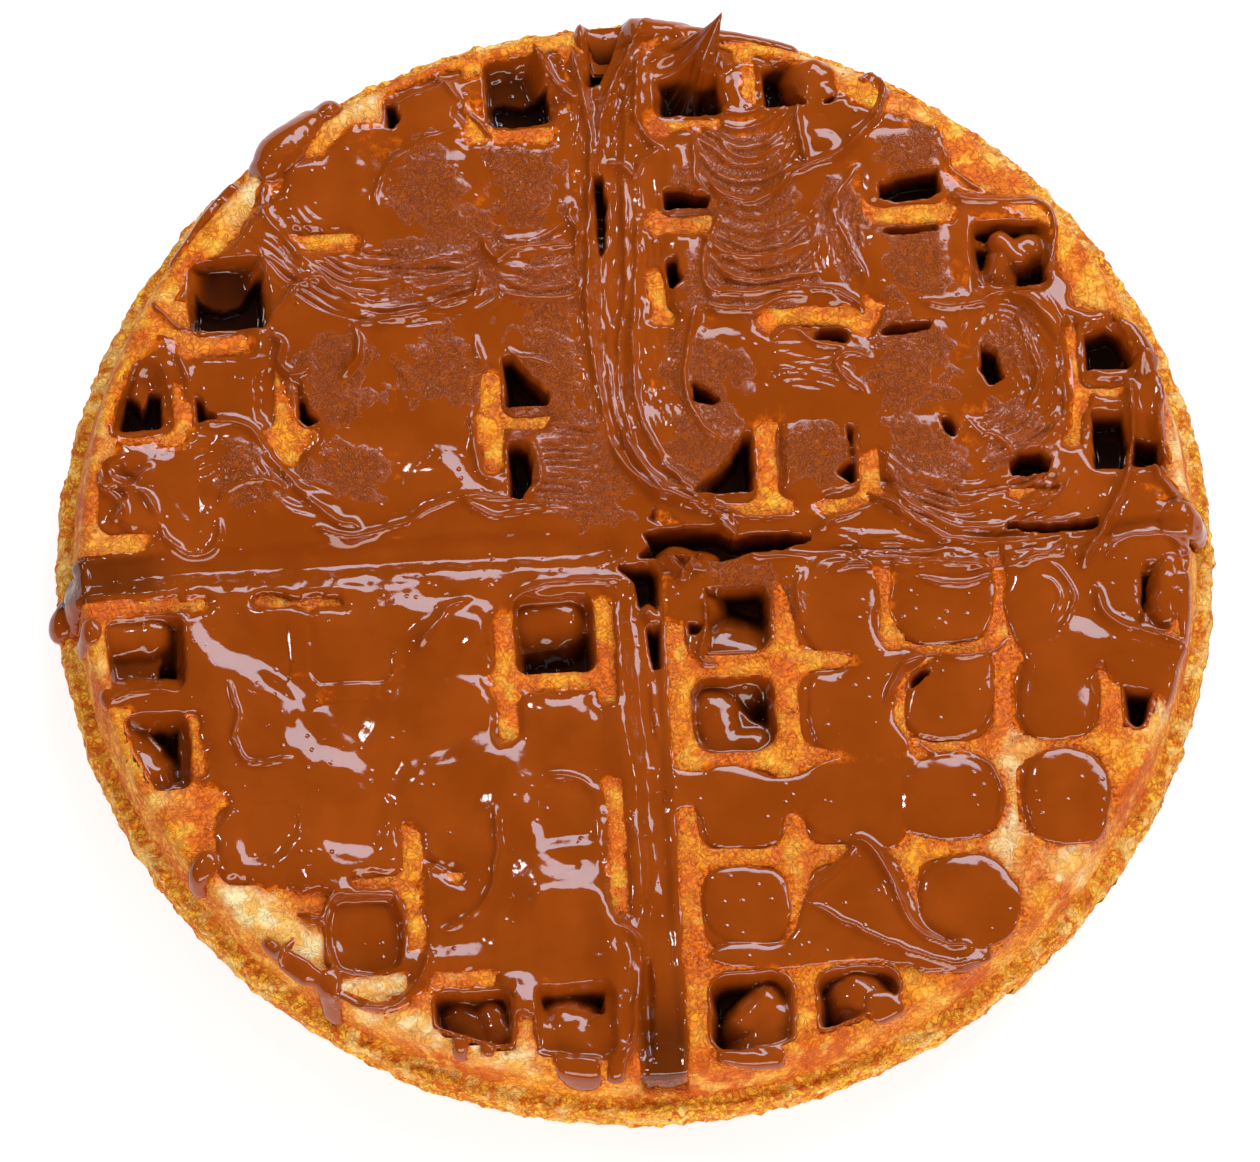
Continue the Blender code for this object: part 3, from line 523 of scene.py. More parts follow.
# Steps in the thick chocolate: width of the steep slope on the left, width of the gentle one on the right,
# then the points.
SLOPES = (
    (6.0, 13.0, (-77, -4), (-74, -9), (-71.4, -14), (-69, -17.4), (-64, -20.4), (-60.4, -24),
     (-58.6, -29), (-55, -33.8), (-50, -37.2), (-43, -37)),
    (4.0, 6.0, (-63, -18.6), (-58.6, -22), (-52.4, -24.6)),
    (5.8, 9.0, (-41, -36), (-36, -38), (-31, -37), (-27, -35), (-23.4, -34.6), (-22.4, -38), (-22.6, -43),
     (-22, -47)),
    (4.6, 9.0, (-63, -5), (-54, -9.4), (-47, -11), (-39, -9.8), (-32, -9)),
    (3.6, 8.0, (-56.4, -42), (-54.6, -48), (-50, -52.6), (-44, -52.4)),
    (4.0, 8.0, (-58, -51.4), (-52, -56), (-46, -56.8), (-40, -56.4)),
    (6.0, 7.0, (-23, -58), (-16, -59), (-10.6, -59.4), (-8, -63), (-6.6, -67)),
    (3.8, 7.0, (-22, -51), (-17, -54.4), (-11, -54.6), (-7, -53)),
    (4.2, 7.0, (-28, -7), (-30.6, -11), (-34, -15.6), (-37, -18.4)),
    (4.4, 7.0, (-25.4, -7), (-26.2, -14), (-28.4, -20)),
    (3.6, 6.0, (-19.6, -27), (-14, -27), (-11, -28), (-10.4, -32), (-11, -36)),
    (3.4, 6.0, (-34, -20.6), (-30, -21.2), (-26.8, -22.8), (-24.6, -27)),
    (3.2, 5.0, (-49.6, -20.4), (-47, -21.4), (-44.6, -22.6)),
    (3.0, 5.0, (-46, -25.6), (-43.6, -27.2), (-41.6, -28.4)),
    (3.0, 5.0, (-37, -15.4), (-34.6, -13), (-31, -13.4)),
    (4.6, 6.0, (-22.6, -70), (-22.4, -77), (-21, -84)),
    (3.6, 6.0, (-6.6, -64), (-6.4, -75), (-7.6, -85)),
    (4.0, 6.0, (-54.6, -57), (-54.4, -64), (-52, -69)),
    (4.4, 12.0, (-60, 70), (-60, 63), (-58, 57), (-54, 51), (-48, 45.6), (-41, 41.6), (-31, 40)),
    (4.0, 9.0, (-67, 22.4), (-62, 20.4), (-58.6, 14), (-55, 9.4), (-50, 5.4), (-44, 3.4)),
    (4.4, 8.0, (-31, 19), (-29, 14), (-26, 9.6), (-21, 6.8)),
    (4.0, 8.0, (-68, 45), (-64, 47), (-60, 52), (-57, 54)),
    (5.4, 10.0, (61, 6.6), (68, 8.6), (71.8, 14), (72.4, 24), (71.4, 32), (68, 37.6), (62, 40)),
    (3.6, 8.0, (10, 26), (11.6, 21.4), (15, 18.6)),
    (3.2, 7.0, (10, 72), (12, 60), (11, 48), (10, 34)),
    (3.0, 6.0, (33.4, 29.4), (33.6, 26.6), (37.4, 22.6)),
    (4.4, 8.0, (64, -17), (68, -19), (74.6, -20.6), (82, -22)),
    (3.8, 8.0, (36, -58), (37.4, -64.6), (41, -69.8), (47, -72.6)),
    (3.4, 6.0, (-4.4, -8), (-3.4, -18), (-3.8, -26), (-2.4, -40)),
    (3.0, 5.0, (-1.8, -44), (-2.0, -54), (-1.4, -62)),
    (2.6, 5.0, (-7.4, -56), (-7.0, -64), (-7.4, -72)),
    (3.2, 6.0, (-80, -3.6), (-62, -4.6), (-46, -5.2), (-34, -6.0)),
)

# Ridges: height, width to the left, width to the right, then the points.
RIDGES = (
    # upper left quarter
    (1.2, 0.9, 0.7, (-5.5, 87), (-4.5, 79), (-3.4, 72), (-3.8, 64), (-4.6, 55), (-5.0, 47), (-5.4, 40)),
    (1.3, 1.0, 0.8, (-5.6, 46), (-5.2, 36), (-4.4, 28), (-3.2, 20), (-0.5, 13.5), (4, 9.5), (10, 7), (18, 5)),
    (0.8, 0.6, 0.6, (-29, 84), (-25.5, 79.5), (-22, 75), (-18.5, 70)),
    (0.5, 0.7, 0.5, (-38, 59), (-38.3, 63), (-36, 67), (-32, 70.3), (-27, 72.3), (-23, 73.5)),
    (1.4, 0.8, 0.8, (-21.8, 55), (-21, 52), (-19.3, 50), (-16.5, 51.5), (-11, 52), (-7, 52.6), (-5.6, 55.5)),
    (0.7, 0.6, 0.6, (-20, 46), (-17, 43.8), (-12, 43.2), (-7.4, 43.6), (-6.2, 47)),
    (1.0, 1.0, 0.6, (-22.8, 49), (-22.6, 46.5), (-24, 44), (-29, 42.6), (-35, 41), (-41, 40.2), (-43.5, 40)),
    (0.9, 0.9, 0.7, (-57, 41), (-54, 44.5), (-51.5, 47.3), (-48, 48), (-45, 45)),
    (0.9, 1.9, 1.2, (-55, 66.5), (-57, 62.5), (-55.5, 58), (-52, 54), (-49.5, 50.5), (-46, 46.5), (-41, 43)),
    (1.4, 0.8, 0.8, (-57, 39.5), (-54.8, 37.5), (-55.4, 34.5), (-53.6, 32.4), (-51, 32.6), (-50, 34.6)),
    (1.3, 0.9, 0.9, (-43.2, 40.5), (-42.4, 37), (-43.2, 33.8), (-45.2, 31.8), (-45.4, 33.2)),
    (0.9, 0.6, 0.6, (-76, 47.5), (-74, 44.4), (-70.5, 41.4), (-65, 40.8), (-59.5, 41), (-57, 39.8)),
    (0.8, 0.9, 0.5, (-72.4, 38.5), (-71, 35), (-69.4, 31)),
    (1.1, 1.5, 0.9, (-69, 25), (-64, 24.6), (-60, 23), (-57.5, 19), (-54.5, 14.5), (-51, 10), (-48, 7.2),
     (-43, 5.6)),
    (0.9, 0.8, 0.8, (-66, 10), (-65.3, 12.4), (-62, 14.3), (-58, 14.2), (-54.5, 12)),
    (1.0, 0.8, 0.8, (-85.5, 19), (-84.6, 15.5), (-82, 12.5), (-80.5, 9)),
    (1.0, 0.8, 0.8, (-82, 14.6), (-79, 16), (-76, 18.6)),
    (1.1, 0.8, 0.8, (-80, 15), (-77.5, 12.5), (-75.6, 9)),
    (0.8, 0.9, 0.6, (-76, 9), (-75, 5.6), (-72, 3.2), (-69, 2.8), (-66.6, 4.6), (-66, 9)),
    (0.9, 0.8, 0.8, (-52, 6.4), (-47, 4.4), (-42, 4.6), (-37, 6), (-32.5, 8.4), (-27, 9.8), (-22, 9.6),
     (-18, 9.4)),
    (0.7, 0.6, 0.6, (-27, 11.5), (-26, 8.6), (-22, 6.6), (-15, 7.2), (-9, 7)),
    (0.9, 0.8, 0.8, (-25, 25), (-24.8, 19), (-24.2, 14.4), (-22.4, 12.8), (-20, 13.4)),
    (1.0, 0.7, 0.9, (-17, 20), (-15, 17.6), (-14.3, 14.4), (-15, 11.5), (-17.6, 9.6)),
    (0.7, 0.6, 0.6, (-19, 35.4), (-17, 33.4), (-14, 33), (-11, 31.6)),
    (0.6, 1.0, 0.6, (-37.5, 33.5), (-36, 32.2), (-34.6, 30.6)),
    (0.8, 0.8, 0.8, (-23.6, 38), (-23.4, 34), (-22.6, 31)),
    (0.9, 0.7, 0.7, (-6.6, 60), (-7.4, 57), (-6.4, 54), (-7, 48)),
    (1.0, 0.8, 0.8, (-12, 88), (-10, 83), (-7.6, 79), (-4.6, 76)),
    # the upper arm of the cross, and the strip beside it
    (1.4, 1.0, 0.8, (-2.6, 65), (-2.2, 70), (-0.6, 76), (2, 82), (5.2, 87), (8, 89)),
    (1.0, 0.7, 0.7, (5.6, 85), (4.4, 79), (4.2, 73.6), (6, 69.6), (8.4, 67.4)),
    (1.0, 0.7, 0.9, (-2.4, 65.6), (0, 66), (2.2, 64.8), (3.4, 63.2), (5, 65.6), (8, 68)),
    (0.7, 0.6, 0.6, (1.6, 63), (1.4, 54), (0.8, 44), (-0.8, 34), (-1.0, 26), (1, 17)),
    (0.9, 0.6, 0.6, (3.6, 57), (2.8, 48), (2.0, 40), (1.4, 32), (2, 23), (5.6, 14), (11, 8.6)),
    (0.8, 0.7, 0.7, (-2.6, 33), (-2, 24), (0.6, 16), (5.5, 10.6), (12, 7.6), (17, 4.6)),
    (1.0, 0.7, 0.7, (9.6, 9), (13, 5.2), (15.8, 1.2)),
    (2.0, 0.8, 0.6, (2.0, -1.2), (5, -2.2), (8.4, -6)),
    (1.9, 0.7, 0.6, (12, -0.4), (9.4, -2.4), (6.6, -6.2)),
    (1.6, 0.6, 0.6, (5.4, -0.2), (8, -2.4), (12.4, -4.4)),
    (1.2, 0.6, 0.6, (10.6, -8), (10.8, -13), (10, -16), (9.6, -19.4), (13, -20.4)),
    (0.9, 0.6, 0.6, (-1, 20), (3, 12), (9, 7.2), (14, 5), (20, 4.2), (26, 4.2)),
    # upper right quarter
    (1.1, 0.8, 0.7, (13.4, 70), (13, 65), (13.4, 61.4), (15.6, 58.8)),
    (1.1, 0.9, 0.7, (14.6, 63), (16.6, 59.6), (20, 58), (24, 58.4), (27, 60.6), (28.6, 64)),
    (0.8, 0.7, 0.6, (17, 70), (18.6, 66.6), (21.6, 65.4), (25, 66), (28, 68.4)),
    (1.3, 0.7, 0.7, (30.2, 75.6), (30, 71), (30.6, 67), (31.2, 63.4)),
    (1.5, 0.9, 1.0, (27.6, 62), (31, 63), (36, 65.2), (40.4, 68.8), (43.2, 72.4), (44, 76), (42.4, 78.8),
     (40, 77.4)),
    (0.8, 0.7, 0.6, (40, 42), (37, 50), (35, 56), (37.6, 61), (39.8, 64)),
    (0.9, 0.7, 0.7, (12.6, 54.6), (15.6, 50), (21, 48.4), (27, 49), (31, 51)),
    (1.1, 0.9, 0.7, (17, 57), (14.4, 51), (13.4, 46), (15, 42.6), (20, 42.2), (27, 42.8), (33, 42),
     (37, 40.4), (39.4, 37.6)),
    (0.8, 0.6, 0.6, (15, 47.4), (18.4, 45), (25, 44.4), (32, 45.4)),
    (1.0, 0.7, 0.7, (12.4, 41.4), (10.8, 36), (9.6, 30), (9.6, 26), (10.8, 22), (13.4, 18.6), (15.6, 17.6)),
    (1.0, 0.8, 0.8, (12, 41.2), (16, 39.8), (21, 39.2), (25, 41.2), (31, 41.4)),
    (0.8, 0.7, 0.7, (51.6, 71), (53, 66.4), (54, 62.4), (57, 59.4), (60, 57.6)),
    (1.0, 0.9, 0.8, (53, 57.8), (57, 56.4), (62, 56), (67, 56), (69.6, 54), (70.2, 50), (69.2, 45),
     (66, 42.4), (61, 41), (58, 43), (57.2, 47)),
    (1.2, 1.6, 0.9, (47, 40), (53, 38.2), (58, 38.8), (61, 40), (65, 38.4), (68.2, 35), (69.8, 30),
     (70.3, 24), (69.6, 18), (68, 15)),
    (0.9, 0.7, 0.7, (62.4, 14.4), (65, 14), (68, 16), (69, 19)),
    (1.0, 0.8, 0.8, (40.4, 29.8), (36.6, 31.2), (34, 29.8), (35.6, 26.4), (39, 24.2)),
    (0.8, 0.8, 0.6, (24, 35.6), (28, 35.4), (31, 33), (36, 32)),
    (0.8, 0.7, 0.7, (63, 37), (64.6, 32.4), (66, 26), (64, 20)),
    (0.8, 0.8, 0.8, (53.6, 19.8), (56, 17), (59.6, 15.2), (62, 12.4)),
    (2.0, 1.4, 1.2, (80.6, 25), (80.8, 18), (80.4, 12), (78.6, 6), (76, 1), (73, -4), (71, -8)),
    (1.5, 1.2, 1.0, (81.4, 14), (84, 9), (86.4, 5), (87.4, 2)),
    (1.2, 0.9, 0.9, (84, 29), (85.4, 22), (85, 15), (86.6, 9)),
    # the right arm of the cross
    (1.4, 1.0, 0.9, (37, 8), (40.4, 6), (44, 3), (49, -0.6), (55, -2.2), (62, -2.4), (70, -1.2)),
    (0.8, 0.7, 0.7, (41, 8), (46, 4), (52, 1), (59, 0), (66, 0.6), (72, 2)),
    (1.0, 0.8, 0.8, (28, 1), (33, 3.2), (38, 5.4)),
    (1.0, 0.8, 0.8, (30, -6), (36, -4.6), (43, -5), (51, -5.6), (59, -6), (66, -4.8), (69, -2.8)),
    (0.8, 0.7, 0.7, (44, -7), (49, -8.8), (54, -8.8), (58, -7)),
    (0.8, 0.7, 0.7, (16, -1.4), (21, -2.6), (28, -2.6)),
    (1.2, 0.9, 0.9, (66, -5.4), (68.4, -4.6), (69, -3), (67.4, -2.4)),
    # lower right quarter
    (0.6, 0.5, 0.5, (64.6, -5.6), (68, -8), (69.6, -12), (68.6, -16), (66.6, -18)),
    (0.5, 0.5, 0.5, (64, -8), (66.6, -10), (67.4, -13), (66, -16)),
    (1.0, 0.8, 0.8, (59.4, -17.4), (57, -20), (52, -21.2), (47, -20.6), (42.6, -21.6), (40, -25),
     (38.6, -29)),
    (1.2, 0.9, 1.1, (73.2, -10), (74, -14.4), (76.6, -17.4), (81, -18.4), (85, -20), (87, -23)),
    (1.0, 0.9, 0.7, (75, -7), (77.4, -3.4), (82, -2.4), (86, -3), (88, -6), (87.6, -10)),
    (1.3, 1.2, 1.0, (30.6, -51.4), (34, -52), (37, -56.4), (38.8, -62), (41, -66.6), (45.6, -69.6),
     (51, -70)),
    (1.0, 0.8, 0.8, (23.6, -61), (27, -58), (30.6, -55), (33, -52)),
    (0.7, 0.7, 0.7, (24, -61.4), (29, -64.4), (34, -67.4), (40, -70.6), (47, -72.8), (55, -71)),
    (0.8, 0.9, 0.7, (42.4, -34.6), (46, -37.2), (51, -37.2), (55, -40), (56.2, -45), (55, -50)),
    (0.8, 0.8, 0.8, (27, -4.6), (25.6, -9), (26.2, -14)),
    # lower left quarter
    (0.7, 0.8, 0.8, (-17.6, -37.6), (-12, -38.2), (-8, -41)),
    (0.8, 0.5, 0.5, (-66.4, -18.6), (-65, -24), (-65.6, -29), (-64, -33), (-60, -33.4), (-56, -32.6)),
    (0.9, 0.7, 0.7, (-24.6, -42), (-24.8, -50), (-26.4, -57), (-30, -61), (-35, -63)),
    (1.4, 0.9, 0.9, (-36.4, -65), (-37.6, -70), (-41, -74), (-45.6, -75), (-50, -73.2), (-52.6, -71)),
    (1.1, 0.9, 0.9, (-7, -63.6), (-4, -65), (-2.8, -70), (-4, -78), (-5, -84), (-7.6, -87)),
    (1.1, 0.9, 0.9, (-36, -16), (-33, -12), (-30, -8.6), (-26, -7.4)),
    (1.1, 0.8, 0.8, (-21, -8.4), (-16, -5.8), (-8, -5), (-1.6, -5.4)),
    (1.0, 0.9, 0.9, (-74, -20.6), (-80, -20), (-86, -21.4)),
    (0.9, 0.8, 0.8, (-57, -62), (-60, -66), (-55, -71)),
    (0.7, 0.6, 0.6, (2.4, -33), (1.6, -27), (1.4, -22)),
)

# Knife strokes: half-width, streak height, spacing of the streaks, then the points.
STROKES = (
    (8.0, 0.42, 1.3, (-56, 58), (-48, 50), (-38, 46), (-27, 46), (-20, 49)),
    (9.5, 0.34, 1.2, (-24, 16), (-14, 15.4), (-3, 15)),
    (4.6, 0.16, 1.2, (1.0, 64), (1.0, 48), (-0.4, 34), (0, 22), (4, 13), (12, 8)),
    (4.0, 0.13, 1.1, (5.4, 62), (4.6, 46), (4.0, 30), (6, 18)),
    (3.0, 0.24, 0.9, (-4.2, 86), (-3.6, 66), (-4.8, 46), (-4, 26), (-1.6, 18)),
    (3.4, 0.45, 0.9, (-1, 68), (1.4, 76), (5, 85)),
    (6.0, 0.40, 1.2, (38, 12), (46, 6), (56, 3.6), (66, 6), (70, 12)),
    (4.0, 0.35, 1.1, (30, -1), (40, -2.6), (52, -4), (66, -3.4)),
    (5.0, 0.26, 1.2, (22, 30), (29, 30), (37, 27.4)),
    (6.0, 0.30, 1.1, (57, 30), (60, 38), (66, 34), (67, 24), (62, 17), (54, 14)),
    (5.0, 0.30, 1.1, (36, 44), (35, 52), (37, 61)),
    (5.0, 0.20, 1.6, (-72, 20), (-62, 20), (-54, 12), (-44, 8)),
    (4.0, 0.24, 1.2, (-20, 48), (-13, 47.6), (-6, 49)),
)

# Stepped marks where the knife shivered: half-width, height, spacing, how bowed the steps are, the points.
SHIVERS = (
    (8.4, 0.62, 3.2, 0.085, (21.5, 76), (21.5, 66), (21, 57)),
    (9.6, 0.52, 3.0, 0.060, (23, 58), (23, 50), (23, 41)),
    (6.5, 0.40, 3.0, 0.050, (-14, 56), (-13, 48), (-13, 42)),
)

# Scraped places, dull with fine wrinkles: start, end, radius.
DULL = (
    (-14, 63, -14, 62, 6.5),
    (-31, 64, -30, 61, 6.5),
    (-32, 50, -24, 51, 7.0),
    (-13, 47, -12, 45, 6.0),
    (-46, 33, -46, 30, 6.0),
    (-46, 15, -45, 15, 5.5),
    (-62, 15, -61, 16, 4.5),
    (-30, 33, -29, 30, 5.0),
    (-13, 38, -12, 28, 5.5),
    (-14, 24, -6, 12, 7.5),
    (12, 47, 12, 46, 4.5),
    (20, 62, 23, 45, 8.5),
    (13, 31, 14, 29, 6.0),
    (14, 24, 10, 14, 4.5),
    (29, 14, 30, 15, 5.0),
    (47, 47, 47, 46, 6.0),
    (46, 31, 46, 28, 6.5),
    (47, 14, 48, 10, 6.5),
    (47, 65, 48, 66, 5.0),
    (63, 32, 63, 31, 5.0),
    (62, 17, 60, 16, 4.5),
    (14, -4, 20, -5, 3.0),
    (22, -10, 23, -12, 2.0),
    (36, 55, 37, 50, 4.0),
)

# Pale, hardly browned crust: start, end, radius.
PALE = (
    (-47, 79, -40, 77, 3.6),
    (-66, -55.5, -57, -65, 3.6),
    (-51, -71, -42, -71, 2.4),
    (-47, -77, -24, -85.5, 3.4),
    (67, -56, 72, -59, 4.0),
    (81, -33, 85, -30, 3.0),
    (88.6, 20, 89, 8, 1.6),
    (-60, 60, -58, 64, 2.4),
    (60, -36, 56, -60, 2.0),
    (32, 83, 40, 81, 1.6),
)

# Peaks: foot, how far the tip leans, height, radius of the foot, how sharp.
PEAKS = (
    (13.2, 80.6, 5.8, 6.4, 13.6, 7.0, 2.1),
    (82.8, 26.4, 0.6, 2.4, 4.4, 2.4, 1.5),
    (15.0, 3.2, 1.6, -2.6, 0.8, 1.6, 1.0),
)


# --- The chocolate's fields ---------------------------------------------------------------------
def film_thickness(x, y):
    """Thickness of the chocolate on the bars; below zero where they are bare."""
    film = 0.60 - 0.16 * smoothstep(0, 10, y + x - 20)
    film += 0.20 * noise(x, y, 8.0, 14) + 0.08 * noise(x, y, 2.6, 15)
    ragged = 0.75 * noise(x, y, 3.6, 11) + 0.40 * noise(x, y, 1.4, 12)
    for x0, y0, x1, y1, radius in BARE:
        away = capsule(x, y, x0, y0, x1, y1) + ragged
        film = np.minimum(film, mix(-0.55, 0.65, smoothstep(radius - 1.6, radius + 2.6, away)))
    film = mix(film, -0.40 + 0.22 * noise(x, y, 6.0, 16) + 0.12 * ragged, mostly_bare(x, y))
    rim = np.hypot(x, y) + 1.4 * noise(x, y, 9.0, 13) + 0.6 * ragged
    film = np.minimum(film, mix(0.6, DRY, smoothstep(82.5, 88.0, rim)))
    for x0, y0, x1, y1, radius, thick in OVER_RIM:
        away = capsule(x, y, x0, y0, x1, y1) + 0.4 * ragged
        dome = thick * np.sqrt(np.clip(1.0 - (away / radius) ** 2, 0.0, 1.0))
        film = smooth_max(film, np.where(away < radius, dome, DRY), 0.35)
    return film


def pocket_levels(x, y):
    """The level that the chocolate stands at in the nearest pocket."""
    x, y = lattice_place(x, y)
    column, row, _, _ = nearest_pocket(x, y)
    table = np.zeros((2, 2, POCKETS, POCKETS))
    for (sx, sy), rows in FILL.items():
        for r, codes in enumerate(rows):
            for c, code in enumerate(codes):
                table[int(sx > 0), int(sy > 0), r, c] = LEVEL[code]
    return table[(x > 0).astype(int), (y > 0).astype(int), row, column]


def add_pools(x, y, height):
    """Lays the rounded pools and flows on the face."""
    for number, (top, rounding, *points) in enumerate(POOLS):
        at, depth = within(x, y, points, 1.0)
        depth = depth + 0.25 * noise(x[at], y[at], 3.0, 60 + number)
        edge = np.clip(depth / (2.2 * rounding), 0.0, 1.0)
        dome = 1.4 * top * np.sqrt(1.0 - (1.0 - edge) ** 2) + 0.12 * noise(x[at], y[at], 6.0, 61)
        dome = np.where(depth > 0, dome, 8.0 * depth)
        height[at] = smooth_max(height[at], dome, 0.25)


def thin_coat(x, y):
    """Height of the chocolate that coats the walls and the floor of an open pocket."""
    return np.maximum(crust_height(x, y, -COAT) + 0.1, -POCKET_DEPTH + FLOOR_COAT)


def chocolate_height(x, y):
    """Height of the chocolate's surface above the face, before the knife's marks."""
    film = film_thickness(x, y)
    edge = pocket_edge(x, y)
    cross = cross_edge(x, y)
    level = pocket_levels(x, y)

    pool = level + 0.18 * noise(x, y, 6.0, 21)
    inside = smoothstep(0.9, -1.6, edge) * smoothstep(-0.45, 0.15, film)
    sunk = np.where(level < 0, smoothstep(0.5, -0.9, edge), inside)
    is_open = level < OPEN_LEVEL
    height = mix(film, pool, np.where(is_open, 0.0, sunk))

    coated = thin_coat(x, y) + 0.35 * noise(x, y, 2.4, 22) * smoothstep(0.0, -1.5, edge)
    height = np.where(is_open & (edge < 0.5), np.minimum(np.maximum(film, 0.1), coated), height)

    arm = 0.25 + 0.15 * noise(x, y, 6.0, 23)
    in_cross = smoothstep(0.7, -1.1, cross) * smoothstep(92.0, 88.0, np.hypot(x, y))
    height = mix(height, np.where(height < -2, arm, np.maximum(arm, 0.5 * (height + arm))), in_cross)
    add_pools(x, y, height)

    for amount, width, *points in DIPS:
        at, depth = within(x, y, points, 0.3)
        depth = depth + 0.2 * noise(x[at], y[at], 3.0, 26)
        sunk = height[at] - amount * smoothstep(0.0, width, depth) * smoothstep(-5.0, -3.0, height[at])
        height[at] = np.maximum(sunk, np.minimum(height[at], crust_height(x[at], y[at]) + 0.4))
    for points in OPENINGS:
        at, depth = within(x, y, points, 1.0, rounded=False)
        depth = depth + 0.22 * noise(x[at], y[at], 2.0, 24)
        opened = smoothstep(-0.45, 0.35, depth)
        bottom = np.minimum(height[at], thin_coat(x[at], y[at]))
        height[at] = mix(height[at], bottom, opened)
    for x0, y0, x1, y1, radius, top in LUMPS:
        away = capsule(x, y, x0, y0, x1, y1) + 0.3 * noise(x, y, 2.2, 25)
        lump = top - 0.5 * radius * np.clip(away / radius, 0.0, 3.0) ** 2.2
        height = smooth_max(height, np.where(away < 1.8 * radius, lump, -FAR), 0.4)
    return height


def dull_places(x, y):
    """1 where the chocolate is scraped and wrinkled."""
    dull = np.zeros_like(x)
    for x0, y0, x1, y1, radius in DULL:
        away = capsule(x, y, x0, y0, x1, y1) + 3.6 * noise(x, y, 6.5, 43) + 2.6 * noise(x, y, 2.2, 46)
        dull = np.maximum(dull, smoothstep(radius + 0.6, radius - 1.4, away))
    return dull


def add_slopes(x, y, height, where):
    """Steps in the thick chocolate, steep on one side and dying away on the other."""
    for number, (steep, gentle, *points) in enumerate(SLOPES):
        at, run, side, length = along(x, y, points, gentle)
        side = side + 0.5 * noise(x[at], y[at], 5.0, 120 + number)
        rise = np.where(side > 0, 1.0 - smoothstep(0.0, steep, side), 1.0 - smoothstep(0.0, gentle, -side))
        drop_x, drop_y = points[-1][0] - points[0][0], points[-1][1] - points[0][1]
        sideways = smoothstep(0.80, 0.95, -drop_y / math.hypot(drop_x, drop_y))  # the steep side faces +X
        rise = mix(rise, np.where(side > 0, 1.0 - np.clip(side / steep, 0.0, 1.0), rise), sideways)
        ends = smoothstep(-0.5, 5.0, run) * smoothstep(length + 0.5, length - 5.0, run)
        height[at] += SLOPE_RISE * (1.0 + 0.8 * sideways) * steep * rise * ends * where[at]


def add_strokes(x, y, height, where):
    """Fine streaks along the knife's strokes, and steps where it shivered."""
    for half, amount, spacing, *points in STROKES:
        at, run, side, length = along(x, y, points, half)
        ends = smoothstep(0.0, 5.0, run) * smoothstep(length, length - 5.0, run)
        across = smoothstep(half, half * 0.6, np.abs(side))
        bend = side + 0.9 * noise(run, side, 7.0, 31)
        streaks = rough_noise(run / STREAK_STRETCH, bend, spacing, 32)
        height[at] += amount * (1.0 - 2.2 * np.abs(streaks)) * ends * across * where[at]
    for half, amount, spacing, bow, *points in SHIVERS:
        at, run, side, length = along(x, y, points, half)
        ends = smoothstep(0.0, 2.0, run) * smoothstep(length, length - 2.0, run)
        across = smoothstep(half, half * 0.85, np.abs(side))
        place = (run + bow * side**2 + 0.9 * noise(run, side, 6.0, 33)) / spacing
        step = place - np.floor(place)
        saw = np.where(step < 0.75, step / 0.75, (1 - step) / 0.25)
        height[at] += amount * (saw**2.2 - 0.3) * ends * across * where[at]


def add_ridges(x, y, height, crust):
    """Narrow ridges left at the sides of the strokes, which taper at both ends."""
    for number, (amount, left, right, *points) in enumerate(RIDGES):
        reach = 3.2 * max(left, right)
        at, run, side, length = along(x, y, points, reach)
        side = side + 0.30 * noise(x[at], y[at], 3.4, 140 + number)
        width = np.where(side > 0, left, right)
        width = width * (1.0 + 0.30 * noise(run, run * 0, 4.0, 50 + number))
        profile = np.exp(-1.6 * (np.abs(side) / width) ** 1.25)
        ends = smoothstep(-0.2, 3.0, run) * smoothstep(length + 0.2, length - 2.6, run)
        swell = 1.12 + 0.30 * noise(run, run * 0, 6.0, 90 + number)
        bead = amount * swell * ends * profile
        wet = height[at] > crust[at] - 0.2
        on_crust = crust[at] + bead - 0.30
        height[at] = np.where(wet, height[at] + bead, np.maximum(height[at] + bead, on_crust))


def add_peaks(x, y, height):
    """Raises the peaks, and says how far each place is pulled sideways."""
    pull_x, pull_y = np.zeros_like(x), np.zeros_like(x)
    for foot_x, foot_y, lean_x, lean_y, tall, radius, sharp in PEAKS:
        around = np.arctan2(y - foot_y, x - foot_x)
        flutes = 1.0 + 0.10 * np.sin(7 * around + 1.0) + 0.06 * np.sin(12 * around)
        away = np.hypot(x - foot_x, y - foot_y) / (radius * flutes)
        part = np.clip(1.0 - away, 0.0, 1.0) ** sharp
        height += tall * part
        pull_x += lean_x * part**1.15
        pull_y += lean_y * part**1.15
    return pull_x, pull_y


